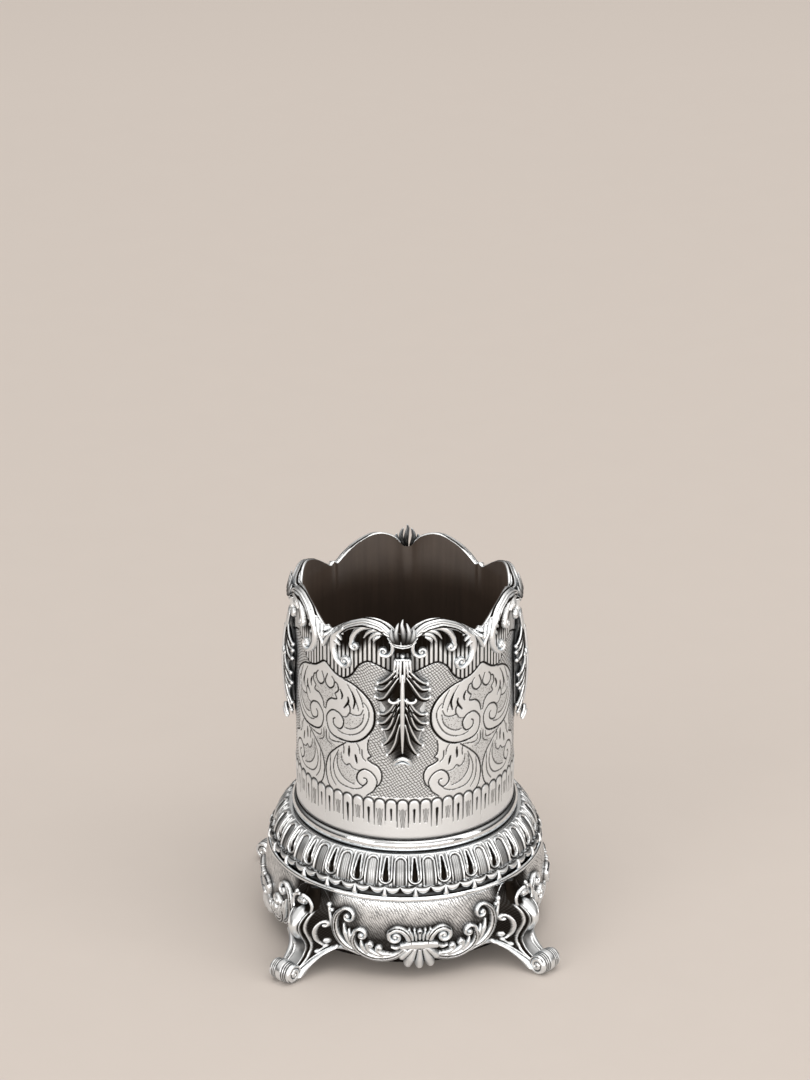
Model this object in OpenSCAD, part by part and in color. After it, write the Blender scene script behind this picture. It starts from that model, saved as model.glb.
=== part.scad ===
// Footed bottle coaster: a scalloped sleeve that turns on a four-footed base.
// The front faces -Y, the floor is z = 0, and the sleeve's axis is the Z axis.

/* [Sleeve] */
// Inside diameter of the lining, which takes the bottle
bore_d = 88; // [80:0.5:100]
// Thickness of the lining
liner_t = 1.4; // [1:0.1:3]
// Thickness of the sleeve's wall
wall_t = 1.5; // [1:0.1:3]
// Height of the sleeve from its seat to the tops of the arches
sleeve_h = 108.2; // [95:0.1:130]
// Thickness of the sleeve's floor
floor_t = 1.5; // [1:0.1:3]
// Thickness of the floor disc that the bottle stands on
liner_floor_t = 3; // [2.5:0.1:6]
// Turn of the sleeve against the base
sleeve_turn = -5.6; // [-45:0.1:45]

/* [Rim] */
// Radius of the arches along the rim
arch_r = 20.2; // [19.5:0.1:23]
// How far the arches lean towards the crests
arch_lean = 1.4; // [0:0.1:1.5]
// Width of the cast border at the arches
border_w = 6; // [4:0.1:8]
// Height of the border over the wall
border_relief = 1.8; // [1.2:0.1:3]
// Height of the crests over the border
crest_relief = 1.2; // [0.6:0.1:2]
// How far the wall's edge stays below the lining's
wall_drop = 0.8; // [0.4:0.1:1.2]
// How far the border's edge stays below the lining's
border_drop = 1.6; // [1.2:0.1:3]
// Height of the crests over the tops of the arches
crest_rise = 3; // [1.5:0.1:4]

/* [Leaf drops] */
// Length of a leaf drop
drop_h = 50; // [40:1:60]
// Width of a leaf drop between the ends of its longest ribs
drop_w = 23; // [18:0.5:28]
// Top of the leaf drops above the middles of the arches
drop_rise = 4.4; // [2:0.1:6]
// Room between a leaf drop and the border above it
drop_room = 0.9; // [0.5:0.1:2]
// How far the middle of a leaf drop stands out from the wall
drop_bulge = 5.2; // [4:0.1:7]
// Radius of the bow of a leaf drop
drop_bow_r = 110; // [80:5:200]
// Length of the pads at both ends that lie on the wall
drop_pad = 10; // [6:0.5:14]
// Thickness of a leaf drop
drop_t = 1.8; // [1.2:0.1:2.5]
// Radius of the knobs at the ends of the ribs
drop_knob_r = 1.6; // [1.2:0.1:2]
// Radius of the curl at the tip
drop_curl_r = 2.4; // [1.5:0.1:3]
// Width of the curl at the tip
drop_curl_w = 5; // [4:0.1:7]

/* [Base] */
// Height of the seat of the sleeve above the floor
seat_z = 56; // [50:0.5:65]
// Thickness of the shoulder and the apron
base_t = 1.5; // [1:0.1:2]
// Width of the collar ring
collar_w = 2; // [1.5:0.1:4]
// Height of the collar ring
collar_h = 5; // [3:0.1:8]
// Flat ledge of the shoulder outside the collar ring
ledge_w = 1.2; // [0.8:0.1:4]
// Width of the sloping shoulder
slope_w = 6.9; // [5:0.1:10]
// Height of the sloping shoulder
slope_h = 12.1; // [10:0.1:14]
// Thickness of the gadroon band in the middle
gadroon_t = 2.2; // [1.6:0.1:3]
// Number of gadroons
gadroon_count = 28; // [16:1:40]
// Height of the ring of leaves under the gadroons
leaf_ring_h = 3.7; // [3:0.1:5]
// How far the ring of leaves stands out from the shoulder
leaf_w = 1.7; // [1:0.1:3]
// Height of the plain ring
band_h = 2.5; // [2:0.1:4]
// How far the plain ring stands out from the shoulder
band_w = 2.9; // [2:0.1:5]
// How far the belly of the apron stands out from the shoulder
belly_w = 3.9; // [3:0.1:6]
// Depth of the belly below the top of the apron
belly_drop = 11.5; // [9:0.1:13]
// Height of the apron
apron_h = 28.5; // [26:0.5:34]
// Radius of the apron's curve from top to bottom
apron_curve_r = 40; // [36:1:60]
// Radius of the hollows along the apron's lower edge
hollow_r = 9; // [6:0.5:12]
// How far the hollows rise into the apron
hollow_h = 3.9; // [1:0.1:6]

/* [Ornaments] */
// Width of a cartouche across its volutes
cartouche_w = 28; // [24:0.5:30]
// Strap of a cartouche below the belly of the apron
cartouche_drop = 8.5; // [7:0.1:10]
// Height of the cartouches over the apron
cartouche_relief = 2.2; // [1.5:0.1:3]
// Length of a scroll spray from its border to the top of its scrolls
spray_h = 25.4; // [22:0.2:27]
// Border of a scroll spray below the belly of the apron
spray_drop = 17; // [15:0.1:18]
// Height of the scroll sprays over the apron
spray_relief = 2; // [1.2:0.1:3]

/* [Feet] */
// How far the toes reach beyond the belly of the apron
foot_reach = 23.4; // [18:0.2:30]
// Diameter of a toe
toe_d = 10; // [7:0.2:12]
// Depth of the flat under a toe
toe_flat = 0.4; // [0.2:0.1:1]
// Length of a toe
toe_w = 13.5; // [9:0.2:18]
// How far a knee stands out from the belly of the apron
knee_reach = 12.7; // [9:0.1:15]
// Width of a knee
knee_w = 14; // [10:0.2:18]
// Width of an ankle
ankle_w = 10.5; // [7:0.2:13]
// Radius of the curl on top of a foot
curl_r = 2.6; // [1.5:0.1:3.5]
// Width of the curl on top of a foot
curl_w = 9.2; // [6:0.2:12]
// Half width of the wings beside a foot
wing_w = 11; // [9:0.2:12]
// Thickness of the wings
wing_t = 2; // [1.2:0.1:3]

/* [Fastenings] */
// Diameter of the centre stud
stud_d = 6; // [4:0.5:10]
// Diameter of the centre stud's head
stud_head_d = 14; // [12:0.5:24]
// Thickness of the centre stud's head
stud_head_t = 1.2; // [0.8:0.1:1.5]
// Diameter of the centre washer
washer_d = 18; // [14:0.5:30]
// Thickness of the centre washer
washer_t = 1.2; // [0.8:0.1:3]
// Width across the flats of the centre nut
nut_af = 10; // [8:0.5:13]
// Thickness of the centre nut
nut_t = 4; // [3:0.5:8]
// Diameter of the foot studs
foot_stud_d = 4; // [3:0.5:5]
// Width across the flats of the foot nuts
foot_nut_af = 7; // [6.5:0.5:9]
// Thickness of the foot nuts
foot_nut_t = 3; // [2:0.5:5]
// How far a foot stud goes into its foot
foot_stud_in = 6; // [4:0.5:8]
// How far a stud goes on past its nut
stud_end = 2; // [1:0.5:4]

/* [Fits] */
// Joint between pieces that are soldered or screwed together
fit = 0.1; // [0.05:0.01:0.2]
// Clearance round the sleeve where it turns in the collar ring
turn_gap = 0.3; // [0.2:0.05:0.6]

/* [Hidden] */
$fn = 96;

silver = [0.8, 0.8, 0.79];
bright_silver = [0.88, 0.88, 0.87];
old_silver = [0.62, 0.62, 0.61];
brown = [0.2, 0.14, 0.11];
steel = [0.55, 0.56, 0.58];

// Units that the ornaments are drawn in
cartouche_unit = cartouche_w / 28;
spray_unit = spray_h / 25.4;

// Radii from the bore outwards
liner_r = bore_d / 2 + liner_t;
wall_r = liner_r + fit;
sleeve_r = wall_r + wall_t;
collar_r = sleeve_r + turn_gap;
ledge_r = collar_r + collar_w + ledge_w;
skirt_r = ledge_r + slope_w;
band_r = skirt_r + fit;
belly_r = skirt_r + belly_w;
far = belly_r + foot_reach + knee_reach;

// Heights from the seat upwards and downwards
floor_z = seat_z + fit;
liner_z = floor_z + floor_t + fit;
bottle_z = liner_z + liner_floor_t;
rim_z = seat_z + sleeve_h;
arch_z = rim_z - arch_r;
arch_x = sleeve_r * sin(45) / 2 - arch_lean;
edge_x = sleeve_r * sin(45);
drop_top = arch_z + drop_rise;
drop_low = drop_top - drop_h;
border_z = drop_top + drop_room;
slope_z = seat_z - slope_h;
slope_len = norm([slope_w, slope_h]);
leaf_ring_z = slope_z - leaf_ring_h;
band_z = leaf_ring_z - fit - band_h;
apron_top_z = band_z - fit;
apron_z = apron_top_z - apron_h;
belly_z = apron_top_z - belly_drop;
curve_x = belly_r - apron_curve_r;
apron_top_r = curve_x + sqrt(pow(apron_curve_r, 2) - pow(apron_top_z - belly_z, 2));

// The washer and the nut under the shoulder
washer_z = seat_z - base_t - fit - washer_t;
nut_z = washer_z - fit - nut_t;

// Extrudes an outline of width and height outwards from the axis, on the front side
module outward(reach = far) {
    rotate([90, 0, 0]) linear_extrude(reach) children();
}

// An outline and its mirror image
module both_sides() {
    children();
    mirror([1, 0]) children();
}

// Points of half an outline, and the same points on the other side of its centre line
function mirrored(half) =
    concat(half, [for (k = [len(half) - 1 : -1 : 0]) [-half[k][0], half[k][1]]]);

// A ring with a square section
module ring(r_in, r_out, z_low, z_high) {
    rotate_extrude() translate([r_in, z_low]) square([r_out - r_in, z_high - z_low]);
}

// The front quarter of the space round the axis
module front_quarter() {
    linear_extrude(2 * rim_z) polygon([[0, 0], [far, -far], [-far, -far]]);
}

// Rim of the sleeve

// Space above the two arches of one quarter
module above_arches(drop) {
    difference() {
        translate([-far, arch_z - drop]) square([2 * far, sleeve_h]);
        both_sides() translate([arch_x, arch_z - drop]) circle(arch_r);
    }
}

module cut_rim(drop) {
    difference() {
        children();
        for (turn = [0 : 90 : 270])
            rotate([0, 0, turn]) intersection() {
                outward() above_arches(drop);
                translate([0, fit, 0]) front_quarter();
            }
    }
}

module sleeve_wall() {
    color(silver) rotate([0, 0, sleeve_turn])
        cut_rim(wall_drop) ring(wall_r, sleeve_r, floor_z, rim_z);
}

module liner_sleeve() {
    color(brown) rotate([0, 0, sleeve_turn])
        cut_rim(0) ring(bore_d / 2, liner_r, bottle_z + fit, rim_z);
}

module sleeve_floor() {
    color(silver) ring(stud_d / 2 + fit, wall_r - fit, floor_z, floor_z + floor_t);
}

module liner_floor() {
    color(brown) difference() {
        translate([0, 0, liner_z]) cylinder(h = liner_floor_t, r = liner_r);
        cylinder(h = liner_z + stud_head_t + fit, d = stud_head_d + 2 * turn_gap);
    }
}

// Cast border of one quarter: two arches with volutes, and the ground of the crest
module border_half() {
    intersection() {
        difference() {
            translate([arch_x, arch_z]) circle(arch_r);
            translate([arch_x, arch_z]) circle(arch_r - border_w);
        }
        translate([0, border_z]) square([far, arch_r]);
    }
    translate([arch_x + 9.6, arch_z]) circle(4.6);
    translate([arch_x + 12, arch_z - 1])
        square([edge_x + border_relief - arch_x - 12, border_z + 2.5 - arch_z]);
    translate([arch_x + 4, arch_z + 6.8]) circle(2.8);
    translate([arch_x + 2.5, arch_z + 7]) square([3, arch_r - border_w - 4.5]);
    translate([9, arch_z + 6]) circle(3);
    translate([0, border_z]) square([9, 7.5]);
}

// Palmette over a shallow bowl
module crest_half() {
    intersection() {
        translate([0, rim_z - 7.5]) circle(5.6);
        translate([0, rim_z - 14]) square([6, 7]);
    }
    polygon([
        [0, rim_z - 8], [4.6, rim_z - 7.5], [5.4, rim_z - 0.4 * crest_rise], [3, rim_z - crest_rise],
        [1.9, rim_z + 0.6 * crest_rise], [0, rim_z + crest_rise]
    ]);
}

module rim_border(turn) {
    outer_r = sleeve_r + border_relief;
    color(bright_silver) rotate([0, 0, sleeve_turn + turn]) {
        intersection() {
            cut_rim(border_drop) ring(sleeve_r + fit, outer_r, arch_z - 10, rim_z);
            outward() both_sides() border_half();
            translate([0, -fit, 0]) front_quarter();
        }
        intersection() {
            ring(sleeve_r + fit, outer_r + crest_relief, arch_z, rim_z + crest_rise);
            outward() both_sides() crest_half();
        }
        translate([0, -outer_r, arch_z + 7.5]) sphere(1.3);
    }
}

// Leaf drop under a crest, a bowed leaf that stands off the wall between its two ends
drop_mid = drop_low + drop_h / 2;
drop_bow_x = sleeve_r + drop_bulge - drop_bow_r;
drop_curl_z = drop_low + 1.2 * drop_curl_r;
drop_curl_x = drop_bow_x + sqrt(pow(drop_bow_r, 2) - pow(drop_mid - drop_curl_z, 2)) + 0.8 * drop_curl_r;

// A point of the leaf, from its share of the half width and its share of the length
function leaf_point(across, down) = [across * drop_w / 2, drop_top - down * drop_h];

module leaf_outline() {
    edge = [
        [0, 0], [0.3, 0], [0.3, 0.06], [0.52, 0.16], [0.87, 0.24], [1, 0.36], [0.78, 0.52],
        [0.81, 0.62], [0.65, 0.82], [0.4, 0.92], [0, 1]
    ];
    knobs = [[0.87, 0.24], [0.97, 0.36], [0.8, 0.6], [0.61, 0.79]];
    both_sides() {
        polygon([for (e = edge) leaf_point(e[0], e[1])]);
        for (k = knobs)
            translate(leaf_point(k[0], k[1])) circle(drop_knob_r);
    }
}

module leaf_drop(turn) {
    color(bright_silver) rotate([0, 0, sleeve_turn + turn]) {
        intersection() {
            rotate_extrude() difference() {
                intersection() {
                    translate([drop_bow_x, drop_mid]) circle(drop_bow_r, $fn = 360);
                    translate([sleeve_r + fit, drop_low]) square([drop_bulge, drop_h]);
                }
                intersection() {
                    translate([drop_bow_x, drop_mid]) circle(drop_bow_r - drop_t, $fn = 360);
                    translate([sleeve_r, drop_low + drop_pad])
                        square([drop_bulge, drop_h - 2 * drop_pad]);
                }
            }
            outward() leaf_outline();
        }
        translate([-drop_curl_w / 2, -drop_curl_x, drop_curl_z])
            rotate([0, 90, 0]) cylinder(h = drop_curl_w, r = drop_curl_r);
    }
}

// Centre stud, which holds the sleeve on the base
module centre_stud() {
    shank_z = nut_z - stud_end;
    color(steel) {
        translate([0, 0, floor_z + floor_t + fit]) cylinder(h = stud_head_t, d = stud_head_d);
        translate([0, 0, shank_z]) cylinder(h = liner_z + stud_head_t - shank_z, d = stud_d);
    }
}

module centre_washer() {
    color(steel) ring(stud_d / 2 + fit, washer_d / 2, washer_z, washer_z + washer_t);
}

module centre_nut() {
    color(steel) translate([0, 0, nut_z]) difference() {
        cylinder(h = nut_t, d = nut_af / cos(30), $fn = 6);
        translate([0, 0, -1]) cylinder(h = nut_t + 2, d = stud_d + 2 * fit);
    }
}

// Base

module shoulder() {
    hole_r = stud_d / 2 + fit;
    color(old_silver) rotate_extrude() polygon([
        [hole_r, seat_z - base_t], [hole_r, seat_z], [ledge_r, seat_z], [skirt_r, slope_z],
        [skirt_r, band_z], [skirt_r - base_t, band_z], [skirt_r - base_t, slope_z - base_t / 4],
        [ledge_r - base_t, seat_z - base_t]
    ]);
}

module collar_ring() {
    round_r = collar_h * 0.64;
    color(bright_silver) rotate_extrude() intersection() {
        translate([collar_r, seat_z]) square([collar_w, collar_h]);
        translate([collar_r + collar_w - round_r, seat_z + collar_h / 2]) circle(round_r);
    }
}

// A round cut along a share of the slope, of radius r, with its floor at a height over the slope
module slope_cut(r, floor_h, share) {
    rotate([atan2(-slope_w, slope_h), 0, 0]) translate([0, -floor_h - r, -slope_len * share / 2])
        cylinder(h = slope_len * share, r = r);
}

// Gadroon band: a bowed band on the slope, with a hollow in each tongue and a narrow flute between them
module gadroon_band() {
    lean = atan2(slope_w, slope_h);
    bow_r = (pow(slope_len / 2, 2) + pow(gadroon_t, 2)) / (2 * gadroon_t);
    middle = [(ledge_r + skirt_r) / 2, (seat_z + slope_z) / 2];
    color(silver) difference() {
        rotate_extrude() translate(middle) rotate(lean) intersection() {
            translate([gadroon_t - bow_r, 0]) circle(bow_r);
            translate([fit, -slope_len / 2]) square([gadroon_t, slope_len]);
        }
        for (k = [0 : gadroon_count - 1]) {
            rotate([0, 0, k * 360 / gadroon_count]) translate([0, -middle[0], middle[1]])
                slope_cut(1.3, 0.8, 0.6);
            rotate([0, 0, (k + 0.5) * 360 / gadroon_count]) translate([0, -middle[0], middle[1]])
                slope_cut(4.2, 1.3, 0.54);
        }
    }
}

// Ring of half-round leaves, two to each gadroon, parted by notches in the lower edge
module leaf_edge_ring() {
    leaf_count = 2 * gadroon_count;
    color(bright_silver) difference() {
        ring(band_r, band_r + leaf_w, leaf_ring_z, slope_z - fit);
        for (k = [0 : leaf_count - 1])
            rotate([0, 0, (k + 0.5) * 360 / leaf_count])
                translate([0, -band_r + leaf_w, leaf_ring_z]) rotate([90, 0, 0])
                    cylinder(h = 3 * leaf_w, r = leaf_ring_h * 0.3);
    }
}

module band_ring() {
    color(bright_silver) rotate_extrude() {
        translate([band_r, band_z]) square([band_w - band_h / 2, band_h]);
        intersection() {
            translate([band_r + band_w - band_h / 2, band_z + band_h / 2]) circle(band_h / 2);
            translate([band_r, band_z]) square([band_w, band_h]);
        }
    }
}

// Section of the apron's wall, or of something that lies on it, between two depths
module apron_section(inner, outer) {
    intersection() {
        difference() {
            translate([curve_x, belly_z]) circle(apron_curve_r + outer, $fn = 240);
            translate([curve_x, belly_z]) circle(apron_curve_r + inner, $fn = 240);
        }
        translate([skirt_r / 2, apron_z - far]) square([far, apron_top_z - apron_z + far]);
    }
}

module at_corners() {
    for (turn = [45 : 90 : 315])
        rotate([0, 0, turn]) children();
}

module apron() {
    color(old_silver) difference() {
        rotate_extrude() {
            intersection() {
                apron_section(-base_t, 0);
                translate([0, apron_z]) square([far, apron_h]);
            }
            translate([skirt_r - base_t, apron_top_z - base_t])
                square([apron_top_r - skirt_r + base_t / 2, base_t]);
        }
        for (turn = [30 : 30 : 330])
            if (turn % 90 != 0) rotate([0, 0, turn])
                translate([0, 0, apron_z + hollow_h - hollow_r]) rotate([90, 0, 0])
                    cylinder(h = far, r = hollow_r);
        at_corners() translate([0, 0, belly_z]) rotate([90, 0, 0])
            cylinder(h = far, d = foot_stud_d + 2 * fit);
    }
}

// Outlines laid on the apron, with an even height over it
module on_apron(relief) {
    intersection() {
        rotate_extrude() apron_section(fit, relief);
        union() {
            for (k = [0 : $children - 1])
                outward() children(k);
        }
    }
}

// Cartouche: a strap between two volutes, with a crown over it and a fan tail under it
module cartouche(turn) {
    u = cartouche_unit;
    tail = [[6, 2], [7.5, -5.5], [4.5, -5], [3.6, -7.4], [0, -8.6]];
    strap_z = belly_z - cartouche_drop;
    color(bright_silver) rotate([0, 0, turn]) on_apron(cartouche_relief) {
        translate([-9.5 * u, strap_z]) square([19 * u, 4 * u]);
        translate([0, strap_z + 5.5 * u]) circle(4.2 * u);
        for (side = [-1, 1])
            translate([side * 10.4 * u, strap_z + 4.5 * u]) circle(3.6 * u);
        translate([0, strap_z]) polygon(u * mirrored(tail));
    }
}

// Spray on one side of a cartouche: a border along the lower edge, and two scrolls that rise from it
module spray_outline() {
    u = spray_unit;
    border = [
        [-9.5, 0], [-4, 0.4], [3, 2.4], [8, 4.6], [11, 3.6], [11, 6.6], [8, 7.8], [3, 5.4], [-4, 3.4],
        [-9.5, 3.2]
    ];
    translate([0, belly_z - spray_drop]) {
        polygon(u * border);
        polygon(u * [[-5.5, 2], [0, 2], [2.6, 12], [-1.5, 13]]);
        polygon(u * [[0, 10], [3.4, 11], [8, 19], [3.6, 20]]);
        translate([-4 * u, 8.4 * u]) circle(2.6 * u);
        translate([0, 13.4 * u]) circle(3.8 * u);
        translate([6.4 * u, 20.6 * u]) circle(4.8 * u);
    }
}

module spray(turn, side) {
    color(bright_silver) rotate([0, 0, turn + side * 22.5])
        on_apron(spray_relief) mirror([side > 0 ? 0 : 1, 0]) spray_outline();
}

// Foot: an S-shaped leg with a knee, a barrel toe and wings that lie on the apron
toe_r = toe_d / 2;
toe_x = belly_r + foot_reach - toe_r;
knee_x = belly_r + knee_reach;

function bend(a, b, c, steps = 6) =
    [for (k = [0 : steps]) let (t = k / steps) (1 - t) * (1 - t) * a + 2 * t * (1 - t) * b + t * t * c];

module leg_side() {
    ankle_x = belly_r + 8.4;
    polygon(concat(
        [[belly_r - 3, apron_top_z - 0.5], [belly_r + 3, apron_top_z + 0.5]],
        bend([belly_r + 4.6, apron_top_z - 3], [knee_x - 4, apron_top_z - 6], [knee_x, belly_z + 1]),
        bend([knee_x, belly_z + 0.5], [knee_x, belly_z - 7], [ankle_x, belly_z - 13]),
        bend([ankle_x, belly_z - 13.5], [ankle_x + 0.6, toe_d - 3], [toe_x, toe_d - 0.5]),
        [[toe_x, 0.3]],
        bend([ankle_x + 1, 0.8], [belly_r + 2, 3.5], [belly_r - 3, apron_z + 4])
    ));
}

module leg_front() {
    both_sides() polygon(concat(
        [[0, apron_top_z + 1], [curl_w / 2, apron_top_z + 1]],
        bend([curl_w / 2, apron_top_z - 2], [knee_w / 2, apron_top_z - 5], [knee_w / 2, belly_z]),
        bend([knee_w / 2, belly_z - 1], [knee_w / 2, belly_z - 7], [ankle_w / 2, belly_z - 13]),
        [[ankle_w / 2, belly_z - 16], [toe_w / 2 - 0.5, 0], [0, 0]]
    ));
}

module wing_outline() {
    both_sides() polygon(concat(
        [[0, apron_top_z - 1]],
        bend([5, apron_top_z - 1.5], [wing_w, apron_top_z - 4], [wing_w, belly_z - 7]),
        bend([wing_w, belly_z - 8], [wing_w - 1, belly_z - 15], [ankle_w / 2, belly_z - 19]),
        [[0, belly_z - 20]]
    ));
}

module foot_body() {
    intersection() {
        translate([knee_w, 0, 0]) rotate([90, 0, -90]) linear_extrude(2 * knee_w) leg_side();
        outward(2 * far) leg_front();
    }
    translate([-toe_w / 2, -toe_x, toe_r - toe_flat]) rotate([0, 90, 0])
        cylinder(h = toe_w, r = toe_r);
    translate([-curl_w / 2, -belly_r - 3.4, apron_top_z - 1.6]) rotate([0, 90, 0])
        cylinder(h = curl_w, r = curl_r);
    on_apron(wing_t) wing_outline();
}

module foot(turn) {
    color(bright_silver) rotate([0, 0, turn]) difference() {
        foot_body();
        rotate_extrude() intersection() {
            translate([curve_x, belly_z]) circle(apron_curve_r + fit, $fn = 240);
            translate([0, -1]) square([far, far]);
        }
        translate([0, 0, apron_top_z]) cylinder(h = far, r = band_r + band_w + fit);
        translate([-far, -2 * far, -far]) cube([2 * far, 2 * far, far]);
        translate([0, -belly_r - foot_stud_in, belly_z]) rotate([-90, 0, 0])
            cylinder(h = far, d = foot_stud_d + 2 * fit);
    }
}

// Inside face of the apron at the studs, less what its curve takes over the width of a nut
foot_nut_x = belly_r - base_t - fit - pow(foot_nut_af, 2) / 150;
foot_stud_len = belly_r + foot_stud_in - fit - foot_nut_x + foot_nut_t + stud_end;

module foot_studs() {
    color(steel) at_corners()
        translate([0, -foot_nut_x + foot_nut_t + stud_end, belly_z]) rotate([90, 0, 0])
            cylinder(h = foot_stud_len, d = foot_stud_d);
}

module foot_nuts() {
    color(steel) at_corners()
        translate([0, -foot_nut_x + foot_nut_t, belly_z]) rotate([90, 0, 0]) difference() {
            cylinder(h = foot_nut_t, d = foot_nut_af / cos(30), $fn = 6);
            translate([0, 0, -1]) cylinder(h = foot_nut_t + 2, d = foot_stud_d + 2 * fit);
        }
}

sleeve_wall();
sleeve_floor();
liner_sleeve();
liner_floor();
rim_border(0);  // rim_border_front
rim_border(90);  // rim_border_right
rim_border(180);  // rim_border_back
rim_border(270);  // rim_border_left
leaf_drop(0);  // leaf_drop_front
leaf_drop(90);  // leaf_drop_right
leaf_drop(180);  // leaf_drop_back
leaf_drop(270);  // leaf_drop_left
centre_stud();
centre_washer();
centre_nut();
shoulder();
collar_ring();
gadroon_band();
leaf_edge_ring();
band_ring();
apron();
cartouche(0);  // cartouche_front
cartouche(90);  // cartouche_right
cartouche(180);  // cartouche_back
cartouche(270);  // cartouche_left
spray(0, -1);  // spray_front_left
spray(0, 1);  // spray_front_right
spray(90, -1);  // spray_right_left
spray(90, 1);  // spray_right_right
spray(180, -1);  // spray_back_left
spray(180, 1);  // spray_back_right
spray(270, -1);  // spray_left_left
spray(270, 1);  // spray_left_right
foot(45);  // foot_front_right
foot(135);  // foot_back_right
foot(225);  // foot_back_left
foot(315);  // foot_front_left
foot_studs();
foot_nuts();
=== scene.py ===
# %% [markdown]
# # A silver coaster on four scroll feet
#
# A scalloped sleeve turns on a footed base. The measured solids come from the
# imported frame. This lesson dresses them: the engraving on the sleeve, the cast
# rim, the leaf drops, the gadroons, the scrollwork of the apron and the feet.

# %% Load the frame
import math

import bmesh
import bpy
import numpy as np
from mathutils import Matrix, Vector


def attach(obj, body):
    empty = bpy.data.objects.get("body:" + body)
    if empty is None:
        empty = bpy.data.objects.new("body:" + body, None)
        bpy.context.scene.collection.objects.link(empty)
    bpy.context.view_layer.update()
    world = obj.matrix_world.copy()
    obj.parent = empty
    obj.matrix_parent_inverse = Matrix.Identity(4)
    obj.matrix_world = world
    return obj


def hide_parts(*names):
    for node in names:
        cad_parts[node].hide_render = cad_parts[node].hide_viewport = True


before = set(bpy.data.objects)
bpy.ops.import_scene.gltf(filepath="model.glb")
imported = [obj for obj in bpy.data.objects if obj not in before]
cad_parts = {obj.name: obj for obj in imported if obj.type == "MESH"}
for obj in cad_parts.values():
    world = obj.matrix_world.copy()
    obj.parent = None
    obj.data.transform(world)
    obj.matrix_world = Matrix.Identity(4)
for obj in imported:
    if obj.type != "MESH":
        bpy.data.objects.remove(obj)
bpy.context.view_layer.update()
MM = 0.001
SIDES = ("front", "right", "back", "left")

# %% [markdown]
# ## The camera
#
# A long lens two metres away, looking down on the sleeve: a shorter lens closer
# by would bend the rings more than the eye does. The base is seen a few degrees
# turned, so the camera stands a little to the left of its middle.

# %% Camera
BASE_SEEN_TURNED = math.radians(4.4)
CAMERA_AWAY, CAMERA_UP, AIM_UP, LENS = 2.0, 1.1, 0.181, 171.8
camera = bpy.data.objects.new("camera", bpy.data.cameras.new("camera"))
bpy.context.scene.collection.objects.link(camera)
bpy.context.scene.camera = camera
camera.data.lens = LENS
camera.data.sensor_width = 36
camera.data.clip_end = 20
towards_left, towards_front = math.sin(BASE_SEEN_TURNED), math.cos(BASE_SEEN_TURNED)
camera.location = (-CAMERA_AWAY * towards_left, -CAMERA_AWAY * towards_front, CAMERA_UP)
aim = Vector((0, 0, AIM_UP)) - camera.location
camera.rotation_euler = aim.to_track_quat("-Z", "Y").to_euler()
print("camera", [round(x, 3) for x in camera.location])

# %% [markdown]
# ## Shader sums
#
# A finish on silver is a sum of masks and noises. Blender's nodes can be wired
# one by one, but node maths reads best as plain sums. `Number` wraps a socket so
# that `1 - mask` adds a Math node.


# %% Number
class Number:
    """A number in a node tree that takes part in sums."""

    def __init__(self, tree, socket):
        self.tree, self.socket = tree, socket

    def join(self, operation, *values):
        node = self.tree.nodes.new("ShaderNodeMath")
        node.operation = operation
        for socket, value in zip(node.inputs, values):
            if isinstance(value, Number):
                self.tree.links.new(value.socket, socket)
            else:
                socket.default_value = value
        return Number(self.tree, node.outputs[0])

    def __add__(self, other):
        return self.join("ADD", self, other)

    def __sub__(self, other):
        return self.join("SUBTRACT", self, other)

    def __rsub__(self, other):
        return self.join("SUBTRACT", other, self)

    def __mul__(self, other):
        return self.join("MULTIPLY", self, other)

    __radd__, __rmul__ = __add__, __mul__

    def sine(self):
        return self.join("SINE", self)

    def most(self, other):
        return self.join("MAXIMUM", self, other)

    def clipped(self):
        return self.join("MINIMUM", self.join("MAXIMUM", self, 0.0), 1.0)


print("sums ready")

# %% [markdown]
# `Finish` is one material with its nodes. `node` adds any node, and the nodes that
# come back again and again, a mask, a noise, dots, one axis of a place and a mix
# of two colours, have short methods of their own.


# %% Finish
class Finish:
    """One material, or the world round it, and its nodes."""

    def __init__(self, name, holder=bpy.data.materials, shader="Principled BSDF"):
        self.material = holder.new(name)
        self.material.use_nodes = True
        self.tree = self.material.node_tree
        self.shader = self.tree.nodes[shader]

    def node(self, kind, settings=None, sockets=None):
        made = self.tree.nodes.new("ShaderNode" + kind)
        for key, value in (settings or {}).items():
            setattr(made, key, value)
        for key, value in (sockets or {}).items():
            self.plug(made.inputs[key], value)
        return made

    def plug(self, socket, value):
        if isinstance(value, Number):
            value = value.socket
        if isinstance(value, bpy.types.NodeSocket):
            self.tree.links.new(value, socket)
        else:
            socket.default_value = value

    def number(self, kind, output, settings=None, sockets=None):
        return Number(self.tree, self.node(kind, settings, sockets).outputs[output])

    def mask(self, name):
        return self.number("Attribute", "Fac", {"attribute_name": name})

    def noise(self, place, scale, detail=2.0):
        return self.number("TexNoise", "Fac", None, {"Vector": place, "Scale": scale, "Detail": detail})

    def dots(self, place, scale):
        return self.number("TexVoronoi", "Distance", None, {"Vector": place, "Scale": scale})

    def axis(self, place, k):
        return self.number("SeparateXYZ", k, None, {0: place})

    def colour(self, share, first, second):
        mix = self.node("Mix", {"data_type": "RGBA"}, {0: share, 6: first, 7: second})
        return mix.outputs[2]

    def surface(self, **sockets):
        for key, value in sockets.items():
            self.plug(self.shader.inputs[key.replace("_", " ")], value)
        return self.material


print("shader helpers ready")
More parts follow.
